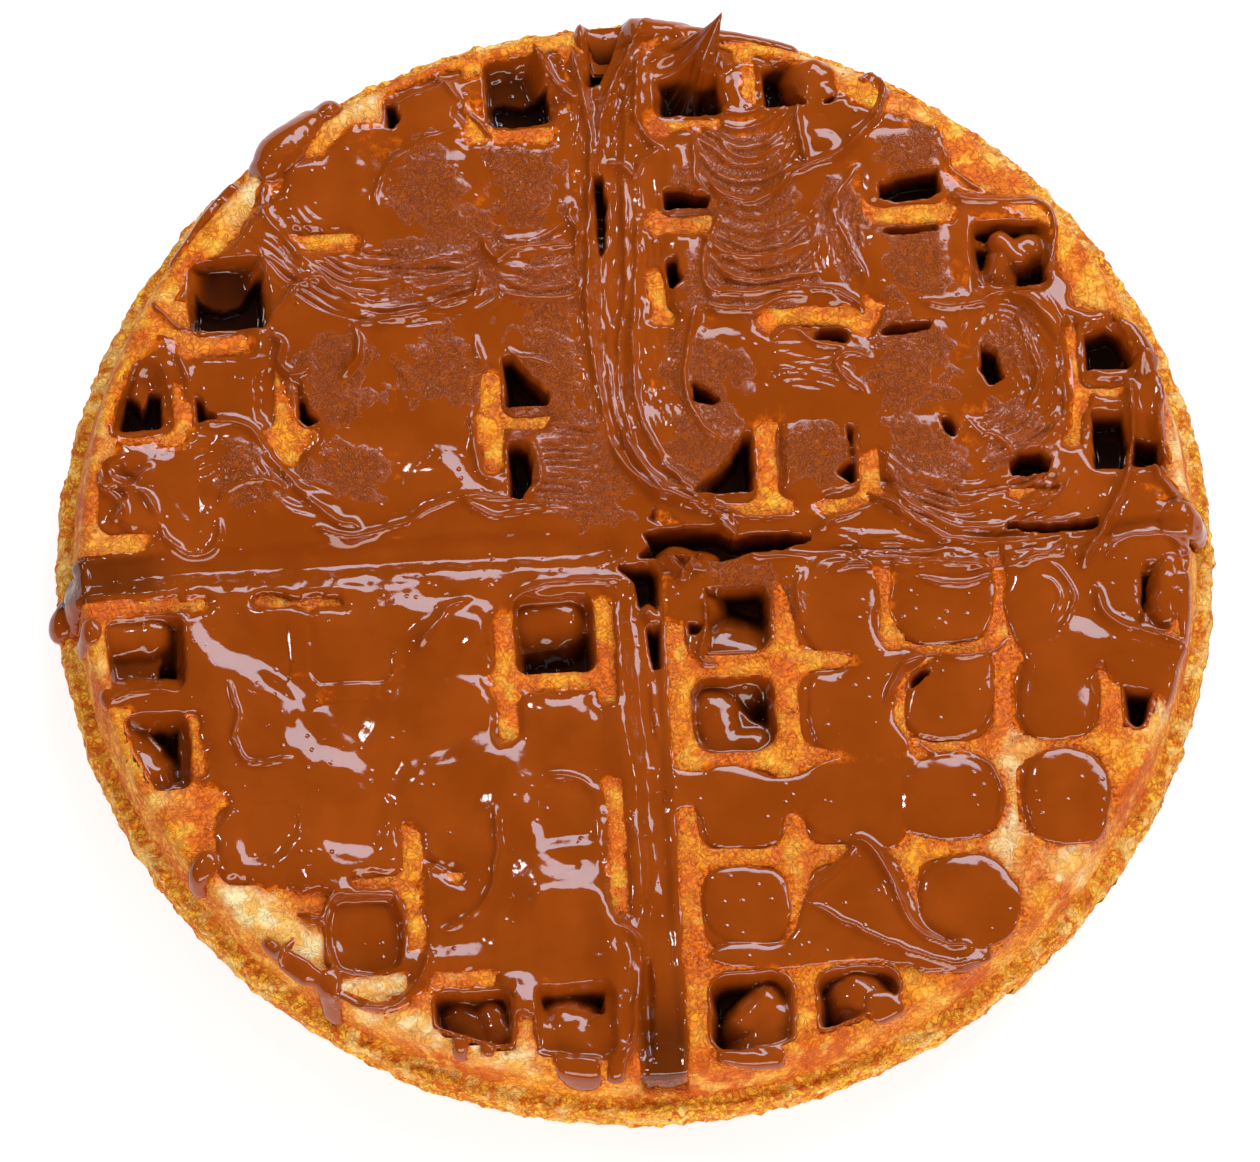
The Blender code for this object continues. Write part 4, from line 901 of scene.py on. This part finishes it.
# --- From the plan to the waffle ----------------------------------------------------------------
def side_profile(seam_depth, seam=SEAM_Z):
    """Radius and height along the side, from the end of the flat face to the middle of the band, where the
    band starts at the seam."""
    points = [(FLAT_R, FACE_Z)]
    for degrees in (72, 54, 36, 18, 6):
        angle = math.radians(degrees)
        centre = (FLAT_R, FACE_Z - EDGE_ROUND)
        points.append((centre[0] + EDGE_ROUND * math.cos(angle), centre[1] + EDGE_ROUND * math.sin(angle)))
    points += [
        (WALL_R - 0.1, seam + 1.4),
        (WALL_R - 0.1, seam + 0.5),
        (WALL_R - 0.1 - seam_depth, seam - 0.1),
        (WALL_R + 0.6, seam - 0.5),
        (BAND_R - 1.0, seam - 0.5),
        (BAND_R - 0.4, seam - 1.1),
        (BAND_R - 0.1, seam - 2.4),
        (BAND_R, seam - BAND_HALF),
    ]
    points = np.array(points)
    lengths = np.concatenate([[0], np.cumsum(np.hypot(*np.diff(points, axis=0).T))])
    lengths *= SIDE_REACH / lengths[-1]
    even = np.linspace(0, lengths[-1], 160)
    radius = np.interp(even, lengths, points[:, 0])
    height = np.interp(even, lengths, points[:, 1])
    kernel = np.ones(5) / 5
    for line in (radius, height):
        line[2:-2] = np.convolve(line, kernel, "valid")
    return even, radius, height


def drape(x, y, offset, profile, wave=0.0):
    """Places points of the plan, raised by an offset along the surface's normal, on the waffle."""
    even, radius, height = profile
    rho = np.hypot(x, y)
    over = np.clip(rho - FLAT_R, 0.0, even[-1])
    waved = smoothstep(3.0, 7.0, over) * smoothstep(even[-1], even[-1] - 3.0, over)
    over = np.clip(over + wave * waved, 0.0, even[-1])
    nr, nz = -np.gradient(height, even), np.gradient(radius, even)
    size = np.hypot(nr, nz)
    nr, nz = nr / size, nz / size
    on_side = rho > FLAT_R
    r = np.where(on_side, np.interp(over, even, radius), rho)
    z = np.where(on_side, np.interp(over, even, height), FACE_Z)
    normal_r = np.where(on_side, np.interp(over, even, nr), 0.0)
    normal_z = np.where(on_side, np.interp(over, even, nz), 1.0)
    r = r + offset * normal_r
    z = z + offset * normal_z
    scale = r / np.maximum(rho, 1e-6)
    return x * scale, y * scale, z


def grid_faces(nx, ny):
    """Quads of a grid of points, numbered row by row, wound to face up."""
    start = (np.arange(nx - 1)[None, :] + nx * np.arange(ny - 1)[:, None]).ravel()
    return np.stack([start, start + 1, start + 1 + nx, start + nx], axis=1)


def kept_only(faces, count):
    """Renumbers faces to the points they use. Gives the faces and the indices of those points."""
    used = np.zeros(count, bool)
    used[faces.ravel()] = True
    number = np.cumsum(used) - 1
    return number[faces], np.flatnonzero(used)


def rim_points(faces, count):
    """True for every point on the open border of a quad mesh."""
    edges = np.concatenate([faces[:, [k, (k + 1) % 4]] for k in range(4)])
    edges = np.sort(edges, axis=1)
    keys = edges[:, 0].astype(np.int64) * count + edges[:, 1]
    _, first, uses = np.unique(keys, return_index=True, return_counts=True)
    border = np.zeros(count, bool)
    border[edges[first[uses == 1]].ravel()] = True
    return border


def make_shell(name, upper, lower, faces, border, attributes):
    """A smooth object between two sheets of the same quads, in mm, which share the points of their border.
    Each attribute has a value for every point of the upper sheet and of the lower one."""
    count = len(upper)
    number = np.arange(count)
    number[~border] = count + np.arange((~border).sum())
    points = np.concatenate([upper, lower[~border]])
    quads = np.concatenate([faces, number[faces][:, ::-1]])

    mesh = bpy.data.meshes.new(name)
    mesh.vertices.add(len(points))
    mesh.vertices.foreach_set("co", (points * MM).astype(np.float32).ravel())
    mesh.loops.add(quads.size)
    mesh.loops.foreach_set("vertex_index", quads.astype(np.int32).ravel())
    mesh.polygons.add(len(quads))
    mesh.polygons.foreach_set("loop_start", (np.arange(len(quads)) * 4).astype(np.int32))
    mesh.update(calc_edges=True)
    for key, (above, below) in attributes.items():
        layer = mesh.attributes.new(key, "FLOAT", "POINT")
        layer.data.foreach_set("value", np.concatenate([above, below[~border]]).astype(np.float32))
    mesh.shade_smooth()
    thing = bpy.data.objects.new(name, mesh)
    bpy.context.scene.collection.objects.link(thing)
    return thing


# --- The waffle's mesh --------------------------------------------------------------------------
def lattice_lines():
    """Plan lines along one axis, close together where the walls of the pockets and the cross are."""
    from_centre = [0, 1.5, 3.0, 4.2, 4.8, 5.05, 5.25, 5.45, 5.65, 5.85, 6.05, 6.3, 6.6, 7.0, 7.6, 8.2]
    cross = [0, 0.8, 1.5, 2.1, 2.4, 2.65, 2.9, 3.15, 3.4, 3.65, 3.95, 4.3, 4.8]
    lines = set(cross)
    for k in range(POCKETS):
        centre = FIRST + PITCH * k
        for away in from_centre:
            lines.update((centre - away, centre + away))
    end = FIRST + PITCH * (POCKETS - 1) + from_centre[-1]
    lines.update(end + 0.42 * k for k in range(1, 44))
    ordered = sorted(line for line in lines if line >= 0)
    spaced = [ordered[0]]
    for line in ordered[1:]:
        if line - spaced[-1] > 0.12:
            spaced.append(line)
    spaced = np.array(spaced)
    return np.concatenate([-spaced[:0:-1], spaced])


def crust_plan():
    """The crust's grid on the plan, whose outermost points are moved to the middle of the band: x, y, the
    quads, and which points are on the border."""
    lines = lattice_lines()
    x, y = [part.ravel() for part in np.meshgrid(lines, lines)]
    faces = grid_faces(len(lines), len(lines))
    faces = faces[(np.hypot(x, y)[faces] < PLAN_R + 0.2).all(axis=1)]
    faces, used = kept_only(faces, len(x))
    x, y = x[used], y[used]
    border = rim_points(faces, len(x))
    rho = np.hypot(x, y)
    snap = np.where(border | (rho > PLAN_R), PLAN_R / np.maximum(rho, 1e-6), 1.0)
    return x * snap, y * snap, faces, border


def crust_relief(x, y, over, round_about, seed):
    """Small bumps of the crust: faint on the bars, larger on the side, crumbly on the band."""
    bars = 0.10 * rough_noise(x, y, 2.2, seed) + 0.10 * noise(x, y, 9.0, seed + 5)
    wall = 0.22 * noise(x, y, 7.0, seed + 6) + 0.10 * rough_noise(x, y, 1.6, seed + 7)
    crumbs = np.abs(noise(round_about, over * 1.2, 2.6, 201))
    crumbs += 0.5 * np.abs(noise(round_about, over, 1.2, 202))
    flakes = smoothstep(0.1, 0.25, noise(round_about * 0.8, over, 3.4, 209))
    band = 0.25 * noise(round_about, over, 6.0, 203) + 0.6 * crumbs + 0.35 * flakes - 0.7
    in_band = smoothstep(SIDE_REACH - 7.0, SIDE_REACH - 4.6, over)
    return mix(mix(bars, wall, smoothstep(0.5, 2.0, over)), band, in_band)


def stained_places(x, y):
    """1 where chocolate has stained or wetted the crust; around the pools and along the brinks of the pockets
    and the cross this tint is also painted shade.
    """
    rho = np.hypot(x, y)
    wet = np.zeros_like(x)
    # The tint around the pools and along the brinks of the pockets and the cross is stain, and painted shade
    # as well.
    for _, _, *points in POOLS:
        at, depth = within(x, y, points, 3.5)
        wet[at] = np.maximum(wet[at], smoothstep(-3.5, 0.0, depth))
    edge = np.minimum(pocket_edge(x, y), cross_edge(x, y))
    wet = np.maximum(wet, 0.8 * smoothstep(2.0, 0.0, edge) * (rho < FLAT_R))
    stain_and_edge_shade = smoothstep(-0.75, 0.15, film_thickness(x, y))
    glazed = smoothstep(0.0, 0.4, noise(x, y, 8.0, 210) + 0.3 * noise(x, y, 2.4, 211))
    stain_and_edge_shade = np.maximum(stain_and_edge_shade, 0.8 * glazed * mostly_bare(x, y) * smoothstep(88.0, 76.0, rho))
    return np.clip(np.maximum(stain_and_edge_shade, wet) + 0.35 * noise(x, y, 3.0, 206), 0.0, 1.0)


def pale_places(x, y):
    """1 where the crust is hardly browned."""
    pale = 0.25 * smoothstep(0.1, 0.8, noise(x, y, 11.0, 207)) * smoothstep(70.0, 88.0, np.hypot(x, y))
    for x0, y0, x1, y1, radius in PALE:
        away = capsule(x, y, x0, y0, x1, y1) + 1.2 * noise(x, y, 4.0, 208)
        pale = np.maximum(pale, smoothstep(radius + 2.5, radius - 2.0, away))
    return pale


def build_crust():
    """The waffle: its face with the pockets, its side and band, and a plainer underside."""
    x, y, faces, border = crust_plan()
    rho = np.hypot(x, y)
    over = rho - FLAT_R
    round_about = np.arctan2(y, x) * BAND_R
    level = np.zeros_like(x)
    wave = 0.7 * noise(round_about, level, 17.0, 204) + 0.35 * noise(round_about, level, 5.0, 205)

    crust = crust_height(x, y) * smoothstep(PLAN_R, PLAN_R - 1.5, rho)
    groove_end = smoothstep(FLAT_R + 9.5, FLAT_R + 5.0, rho)
    crust = np.where(rho > FLAT_R - 0.5, crust * groove_end, crust)
    top_offset = crust + crust_relief(x, y, over, round_about, 100)
    base_offset = crust + crust_relief(x, y, over, round_about, 300)
    top = np.stack(drape(x, y, top_offset, side_profile(SEAM_DEPTH), wave), axis=1)
    lower_side = side_profile(SEAM_DEPTH, FACE_Z - BAND_BASE)
    base = np.stack(drape(x, y, base_offset, lower_side, wave), axis=1)
    base[:, 2] = np.maximum(FACE_Z - base[:, 2], 0.0)
    top[border, 2] = SEAM_Z - BAND_HALF

    stain_and_edge_shade, pale = stained_places(x, y), pale_places(x, y)
    # below: how far down a pocket or the cross a place lies; the crust's material paints it darker the deeper
    # it lies, as painted shade.
    below = np.clip(-crust / POCKET_DEPTH, 0.0, 1.0)
    band = smoothstep(SIDE_REACH - 7.0, SIDE_REACH - 5.0, over)
    side = smoothstep(0.3, 1.6, over)
    attributes = {
        "stain_and_edge_shade": (stain_and_edge_shade, 0 * stain_and_edge_shade),
        "pale": (pale, 0 * pale),
        "below": (below, below),
        "band": (band, band),
        "side": (side, side),
    }
    return make_shell("waffle_crust", top, base, faces, border, attributes)


# --- The chocolate's mesh -----------------------------------------------------------------------
def spread_chocolate(x, y, crust):
    """The chocolate after the knife: its height, how far each place is pulled in x and y, how dull it is."""
    height = chocolate_height(x, y)
    where = smoothstep(-0.1, 0.3, height - crust) * smoothstep(-4.0, -2.0, height)
    add_slopes(x, y, height, where)
    smooth = height.copy()
    add_strokes(x, y, height, where)
    add_ridges(x, y, height, crust)
    crest = smoothstep(0.12, 0.32, height - smooth)
    height += (0.07 * noise(x, y, 4.6, 41) + 0.02 * noise(x, y, 1.6, 42)) * where
    dull = dull_places(x, y) * smoothstep(-0.6, 0.1, height) * (1.0 - crest)
    folds = 1.0 - 3.0 * np.abs(noise(x + 0.6 * noise(x, y, 2.0, 47), y, 1.5, 48))
    height += 0.09 * np.maximum(folds, 0.0) * dull
    calm = 1.0 - 0.55 * smoothstep(2, -6, x) * smoothstep(-2, -10, y)
    swell = 0.22 * noise(x, y, 14.0, 44) + 0.12 * noise(x, y, 7.0, 45)
    height += swell * smoothstep(0.1, 0.6, height - crust) * calm
    pull_x, pull_y = add_peaks(x, y, height)
    return height, pull_x, pull_y, dull


def build_chocolate():
    """The spread: a sheet over the crust, closed by an underside that is hidden in the crust."""
    profile = side_profile(0.0)
    reach = FLAT_R + profile[0][-1] - 0.5
    count = int(2 * reach / CHOCOLATE_STEP) + 1
    line = (np.arange(count) - (count - 1) / 2) * CHOCOLATE_STEP
    x, y = [part.ravel() for part in np.meshgrid(line, line)]
    faces = grid_faces(count, count)
    faces = faces[(np.hypot(x, y)[faces] < reach).all(axis=1)]
    faces, used = kept_only(faces, len(x))
    x, y = x[used], y[used]

    crust = crust_height(x, y)
    floor = crust_height(x, y, CRUST_SKIN) - CRUST_SKIN
    on_side = np.hypot(x, y) > FLAT_R + 3
    crust, floor = np.where(on_side, 0.0, crust), np.where(on_side, -CRUST_SKIN, floor)
    height, pull_x, pull_y, dull = spread_chocolate(x, y, crust)

    wet = height > floor + 0.02
    faces = faces[wet[faces].any(axis=1)]
    faces, used = kept_only(faces, len(x))
    kept = (part[used] for part in (x, y, crust, floor, height, pull_x, pull_y, dull))
    x, y, crust, floor, height, pull_x, pull_y, dull = kept
    border = rim_points(faces, len(x))
    height = np.where(border, floor, np.maximum(height, floor))

    top = np.stack(drape(x, y, height, profile), axis=1)
    top[:, 0] += pull_x
    top[:, 1] += pull_y
    bottom = np.stack(drape(x, y, floor, profile), axis=1)
    thick = np.clip((height - crust), 0.0, 2.0)
    # low: how deep a place lies; the chocolate's material paints it darker the deeper it lies, as painted
    # shade.
    low = np.clip(-height / POCKET_DEPTH, 0.0, 1.0)
    # Painted shade: the chocolate is also painted darker at the two ends of the cross.
    ends = np.maximum(smoothstep(-66.0, -84.0, y), 0.9 * smoothstep(-68.0, -80.0, x))
    low = np.maximum(low, 0.56 * ends * smoothstep(1.5, -1.0, cross_edge(x, y)))
    attributes = {"thick": (thick, thick), "dull": (dull, dull), "low": (low, low)}
    return make_shell("chocolate", top, bottom, faces, border, attributes)


# --- Materials ----------------------------------------------------------------------------------
class Nodes:
    """Short ways to add and link the nodes of one material."""

    def __init__(self, name):
        self.material = bpy.data.materials.new(name)
        self.material.use_nodes = True
        self.tree = self.material.node_tree
        self.shader = self.tree.nodes["Principled BSDF"]

    def add(self, kind, inputs=None, **settings):
        node = self.tree.nodes.new(kind)
        for key, value in settings.items():
            setattr(node, key, value)
        for key, value in (inputs or {}).items():
            self.set(node.inputs[key], value)
        return node

    def set(self, socket, value):
        if isinstance(value, bpy.types.NodeSocket):
            self.tree.links.new(value, socket)
        else:
            socket.default_value = value

    def math(self, operation, a, b=0.0, clamp=False):
        inputs = {0: a, 1: b}
        return self.add("ShaderNodeMath", inputs, operation=operation, use_clamp=clamp).outputs[0]

    def mix(self, factor, a, b):
        node = self.add("ShaderNodeMix", data_type="RGBA")
        self.set(node.inputs[0], factor)
        self.set(node.inputs[6], a)
        self.set(node.inputs[7], b)
        return node.outputs[2]

    def steps(self, value, low, high, to_low=0.0, to_high=1.0):
        inputs = {"Value": value, "From Min": low, "From Max": high, "To Min": to_low, "To Max": to_high}
        return self.add("ShaderNodeMapRange", inputs, interpolation_type="SMOOTHSTEP").outputs[0]

    def attribute(self, name):
        return self.add("ShaderNodeAttribute", attribute_name=name).outputs["Fac"]

    def place(self):
        return self.add("ShaderNodeTexCoord").outputs["Object"]

    def noise(self, place, scale, detail=3.0, rough=0.5, distortion=0.0):
        inputs = {"Vector": place, "Scale": scale, "Detail": detail, "Roughness": rough}
        return self.add("ShaderNodeTexNoise", {**inputs, "Distortion": distortion}).outputs[0]

    def bump(self, height):
        """The normals of a relief given in mm."""
        return self.add("ShaderNodeBump", {"Height": height, "Strength": 1.0, "Distance": MM}).outputs[0]


def rgb(red, green, blue):
    """A colour given as it looks on screen, 0 to 255, as the shader takes it."""
    linear = []
    for value in (red, green, blue):
        v = value / 255
        linear.append(v / 12.92 if v <= 0.04045 else ((v + 0.055) / 1.055) ** 2.4)
    return (*linear, 1.0)


def crust_material():
    """Golden crust with fine veins and pores, glossy and brown where chocolate has stained it; the brown
    along the pockets' brinks is also painted shade, and deep in the pockets it is painted nearly black, as
    shade.
    """
    n = Nodes("baked_crust")
    place = n.place()
    stain_and_edge_shade, pale = n.attribute("stain_and_edge_shade"), n.attribute("pale")
    band, side, below = n.attribute("band"), n.attribute("side"), n.attribute("below")

    wander = n.add("ShaderNodeTexNoise", {"Vector": place, "Scale": 420.0, "Detail": 2.0})
    shift = n.add("ShaderNodeVectorMath", {0: wander.outputs["Color"], "Scale": 0.0030}, operation="SCALE")
    bent = n.add("ShaderNodeVectorMath", {0: place, 1: shift.outputs[0]}, operation="ADD").outputs[0]
    cells = n.add("ShaderNodeTexVoronoi", {"Vector": bent, "Scale": 620.0}, feature="DISTANCE_TO_EDGE")
    vein = n.steps(cells.outputs["Distance"], 0.02, 0.20, 1.0, 0.0)
    fibre = n.noise(place, 520.0, 2.0, 0.55, 1.2)
    fibre = n.math("ABSOLUTE", n.math("SUBTRACT", fibre, 0.5))
    fibre = n.steps(fibre, 0.0, 0.055, 1.0, 0.0)
    blotch = n.noise(place, 95.0, 3.0, 0.6)
    patch = n.noise(place, 260.0, 3.0, 0.6)
    fine = n.noise(place, 1500.0, 3.0, 0.6)
    pores = n.add("ShaderNodeTexVoronoi", {"Vector": place, "Scale": 420.0}).outputs["Distance"]
    pore = n.steps(pores, 0.08, 0.22, 1.0, 0.0)
    pore = n.math("MULTIPLY", pore, n.steps(n.noise(place, 160.0), 0.5, 0.62))

    colour = n.mix(n.steps(blotch, 0.42, 0.58), rgb(238, 114, 6), rgb(255, 162, 24))
    colour = n.mix(n.steps(patch, 0.52, 0.64, 0.0, 0.75), colour, rgb(255, 194, 62))
    colour = n.mix(n.steps(patch, 0.46, 0.36, 0.0, 0.55), colour, rgb(214, 84, 6))
    creamy = n.mix(n.steps(patch, 0.44, 0.60), rgb(255, 196, 96), rgb(255, 236, 176))
    colour = n.mix(n.math("MULTIPLY", pale, 0.95), colour, creamy)
    wall = n.mix(n.steps(blotch, 0.42, 0.58), rgb(214, 100, 10), rgb(242, 150, 34))
    wall = n.mix(n.steps(patch, 0.50, 0.66, 0.0, 0.6), wall, rgb(255, 204, 92))
    colour = n.mix(n.math("MULTIPLY", side, n.steps(pale, 0.0, 1.0, 0.9, 0.4)), colour, wall)
    grain = n.noise(place, 600.0, 3.0, 0.6)
    crumb = n.mix(n.steps(grain, 0.42, 0.54), rgb(228, 120, 14), rgb(255, 188, 50))
    crumb = n.mix(n.steps(patch, 0.50, 0.62, 0.0, 0.8), crumb, rgb(255, 216, 124))
    colour = n.mix(band, colour, crumb)
    lines = n.math("MAXIMUM", fibre, n.math("MULTIPLY", vein, 0.8))
    lines = n.math("MULTIPLY", lines, n.steps(patch, 0.36, 0.62, 1.0, 0.55))
    lines = n.math("MULTIPLY", lines, n.steps(pale, 0.0, 1.0, 0.78, 0.35))
    colour = n.mix(lines, colour, rgb(176, 66, 4))
    colour = n.mix(n.math("MULTIPLY", pore, 0.6), colour, rgb(120, 44, 4))
    # Darker tint where the crust is stained; around the pools and along the pockets' brinks it is also
    # painted shade.
    tint = n.mix(n.steps(fine, 0.42, 0.58), rgb(160, 60, 4), rgb(232, 112, 18))
    patchy = n.math("MULTIPLY", stain_and_edge_shade, n.steps(n.noise(place, 300.0, 3.0, 0.6), 0.36, 0.6, 0.45, 0.95))
    colour = n.mix(patchy, colour, tint)
    # Painted shade: the crust is painted nearly black deep in the pockets and the cross.
    colour = n.mix(n.steps(below, 0.15, 0.95, 0.0, 0.94), colour, rgb(44, 14, 3))
    n.set(n.shader.inputs["Base Color"], colour)
    n.set(n.shader.inputs["Roughness"], n.steps(stain_and_edge_shade, 0.3, 0.9, 0.62, 0.22))
    n.shader.inputs["Specular IOR Level"].default_value = 0.22

    relief = n.math("MULTIPLY", vein, -0.05)
    relief = n.math("ADD", relief, n.math("MULTIPLY", fibre, -0.10))
    relief = n.math("ADD", relief, n.math("MULTIPLY", fine, n.steps(band, 0.0, 1.0, 0.10, 0.22)))
    relief = n.math("ADD", relief, n.math("MULTIPLY", pore, -0.12))
    n.set(n.shader.inputs["Normal"], n.bump(relief))
    return n.material


def chocolate_material():
    """Glossy brown spread, lighter where it is thin, dull and wrinkled where it is scraped, with bubbles; its
    wrinkle lines are painted darker and its deep places nearly black, both as painted shade.
    """
    n = Nodes("chocolate")
    place = n.place()
    thick, dull, low = n.attribute("thick"), n.attribute("dull"), n.attribute("low")
    cloud = n.noise(place, 70.0, 3.0, 0.55)
    fine = n.noise(place, 1700.0, 3.0, 0.6)
    wrinkle = n.noise(place, 820.0, 2.0, 0.6, 1.8)
    wrinkle = n.math("ABSOLUTE", n.math("SUBTRACT", wrinkle, 0.5))
    wrinkle = n.steps(wrinkle, 0.0, 0.10, 1.0, 0.0)
    bubbles = n.add("ShaderNodeTexVoronoi", {"Vector": place, "Scale": 520.0})
    bubble = n.steps(bubbles.outputs["Distance"], 0.0, 0.26, 1.0, 0.0)
    bubble = n.math("MULTIPLY", bubble, n.steps(n.noise(place, 80.0, 2.0), 0.43, 0.49))
    bubble = n.math("MULTIPLY", bubble, n.steps(bubbles.outputs["Color"], 0.40, 0.56))

    deep = n.mix(n.steps(cloud, 0.35, 0.7), rgb(143, 60, 6), rgb(156, 68, 12))
    glaze = n.mix(n.steps(n.noise(place, 1100.0, 3.0, 0.6), 0.42, 0.58), rgb(214, 100, 14), rgb(156, 60, 6))
    amount = n.math("ADD", thick, n.steps(n.noise(place, 420.0, 3.0, 0.6), 0.3, 0.7, -0.14, 0.14))
    colour = n.mix(n.steps(amount, 0.04, 0.42), glaze, deep)
    # Painted shade: the wrinkle lines of the scraped places are painted darker, as the shade of the folds.
    scraped = n.mix(wrinkle, rgb(158, 72, 14), rgb(120, 48, 6))
    colour = n.mix(n.math("MULTIPLY", dull, 0.8), colour, scraped)
    # Painted shade: the chocolate is painted nearly black deep down and at the two ends of the cross.
    colour = n.mix(n.steps(low, 0.12, 0.85, 0.0, 0.95), colour, rgb(30, 8, 1))
    n.set(n.shader.inputs["Base Color"], colour)
    rough = n.math("ADD", n.math("MULTIPLY", dull, 0.10), n.steps(fine, 0.3, 0.7, 0.05, 0.09))
    n.set(n.shader.inputs["Roughness"], n.math("MULTIPLY", rough, n.steps(bubble, 0.0, 0.2, 1.0, 0.3)))
    shine = n.math("ADD", n.steps(dull, 0.0, 0.7, 0.5, 0.24), n.math("MULTIPLY", bubble, 0.5), clamp=True)
    n.set(n.shader.inputs["Specular IOR Level"], shine)

    relief = n.math("MULTIPLY", n.math("MULTIPLY", wrinkle, dull), 0.09)
    relief = n.math("ADD", relief, n.math("MULTIPLY", bubble, 0.13))
    relief = n.math("ADD", relief, n.math("MULTIPLY", fine, n.steps(dull, 0.0, 1.0, 0.010, 0.02)))
    n.set(n.shader.inputs["Normal"], n.bump(relief))
    return n.material


# --- Stage, lights, camera ----------------------------------------------------------------------
def build_floor():
    """A white ground, which glows a little so that it stays white in the shade."""
    mesh = bpy.data.meshes.new("floor")
    half = 3.0
    corners = [(-half, -half, 0), (half, -half, 0), (half, half, 0), (-half, half, 0)]
    mesh.from_pydata(corners, [], [(0, 1, 2, 3)])
    floor = bpy.data.objects.new("floor", mesh)
    bpy.context.scene.collection.objects.link(floor)
    n = Nodes("floor_white")
    n.shader.inputs["Base Color"].default_value = (0.36, 0.36, 0.36, 1.0)
    n.shader.inputs["Roughness"].default_value = 0.9
    n.shader.inputs["Specular IOR Level"].default_value = 0.0
    n.shader.inputs["Emission Color"].default_value = (1.0, 1.0, 1.0, 1.0)
    n.shader.inputs["Emission Strength"].default_value = 0.76
    mesh.materials.append(n.material)


def add_softbox(name, azimuth, elevation, distance, width, height, power, colour):
    """A rectangular light that faces the waffle. Azimuth 0 is towards +Y and 90 towards +X."""
    a, e = math.radians(azimuth), math.radians(elevation)
    place = Vector((math.sin(a) * math.cos(e), math.cos(a) * math.cos(e), math.sin(e))) * distance
    light = bpy.data.lights.new(name, "AREA")
    light.shape = "RECTANGLE"
    light.size = width
    light.size_y = height
    light.energy = power
    light.color = colour
    thing = bpy.data.objects.new(name, light)
    thing.location = place
    thing.rotation_euler = (-place).to_track_quat("-Z", "Y").to_euler()
    bpy.context.scene.collection.objects.link(thing)


def build_lights():
    """Softboxes, and a surround that is white to the camera, dim as a light and dark in reflections."""
    white = (1.0, 1.0, 1.0)
    add_softbox("key_box", 28, 45, 0.90, 0.86, 0.36, 8.4, (0.76, 0.87, 1.0))
    add_softbox("left_box", -84, 40, 0.90, 0.06, 0.06, 0.5, white)
    add_softbox("right_box", 96, 36, 0.90, 0.08, 0.06, 0.6, white)
    add_softbox("upper_box", -36, 56, 0.90, 0.05, 0.05, 0.4, white)
    add_softbox("front_box", 176, 24, 1.00, 1.20, 0.30, 7.0, (1.0, 0.95, 0.88))
    world = bpy.data.worlds.new("studio")
    bpy.context.scene.world = world
    world.use_nodes = True
    tree = world.node_tree
    background = tree.nodes["Background"]
    background.inputs["Color"].default_value = (1.0, 1.0, 1.0, 1.0)
    rays = tree.nodes.new("ShaderNodeLightPath")
    glossy = tree.nodes.new("ShaderNodeMix")
    glossy.inputs[2].default_value = 0.34
    glossy.inputs[3].default_value = 0.03
    tree.links.new(rays.outputs["Is Glossy Ray"], glossy.inputs[0])
    seen = tree.nodes.new("ShaderNodeMix")
    seen.inputs[3].default_value = 1.0
    tree.links.new(rays.outputs["Is Camera Ray"], seen.inputs[0])
    tree.links.new(glossy.outputs[0], seen.inputs[2])
    tree.links.new(seen.outputs[0], background.inputs["Strength"])


def build_camera():
    """The photo's view: from the front and high up, nearly without perspective."""
    azimuth, elevation = math.radians(-3.1), math.radians(70.8)
    distance = 6.0
    across = 0.2017  # width of the view at the face
    aim = Vector((-1.08, -5.24, FACE_Z)) * MM
    back = Vector(
        (
            math.sin(azimuth) * math.cos(elevation),
            -math.cos(azimuth) * math.cos(elevation),
            math.sin(elevation),
        )
    )
    data = bpy.data.cameras.new("camera")
    data.sensor_width = 36.0
    data.lens = data.sensor_width * distance / across
    data.clip_end = 30.0
    camera = bpy.data.objects.new("camera", data)
    camera.location = aim + back * distance
    camera.rotation_euler = back.to_track_quat("Z", "Y").to_euler()
    bpy.context.scene.collection.objects.link(camera)
    bpy.context.scene.camera = camera


def main():
    crust = build_crust()
    crust.data.materials.append(crust_material())
    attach(crust, "root")
    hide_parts("waffle")
    chocolate = build_chocolate()
    chocolate.data.materials.append(chocolate_material())
    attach(chocolate, "root")
    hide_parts("chocolate_spread", "chocolate_pool_1", "chocolate_pool_2")
    build_floor()
    build_lights()
    build_camera()
    bpy.context.scene.view_settings.view_transform = "Standard"


main()
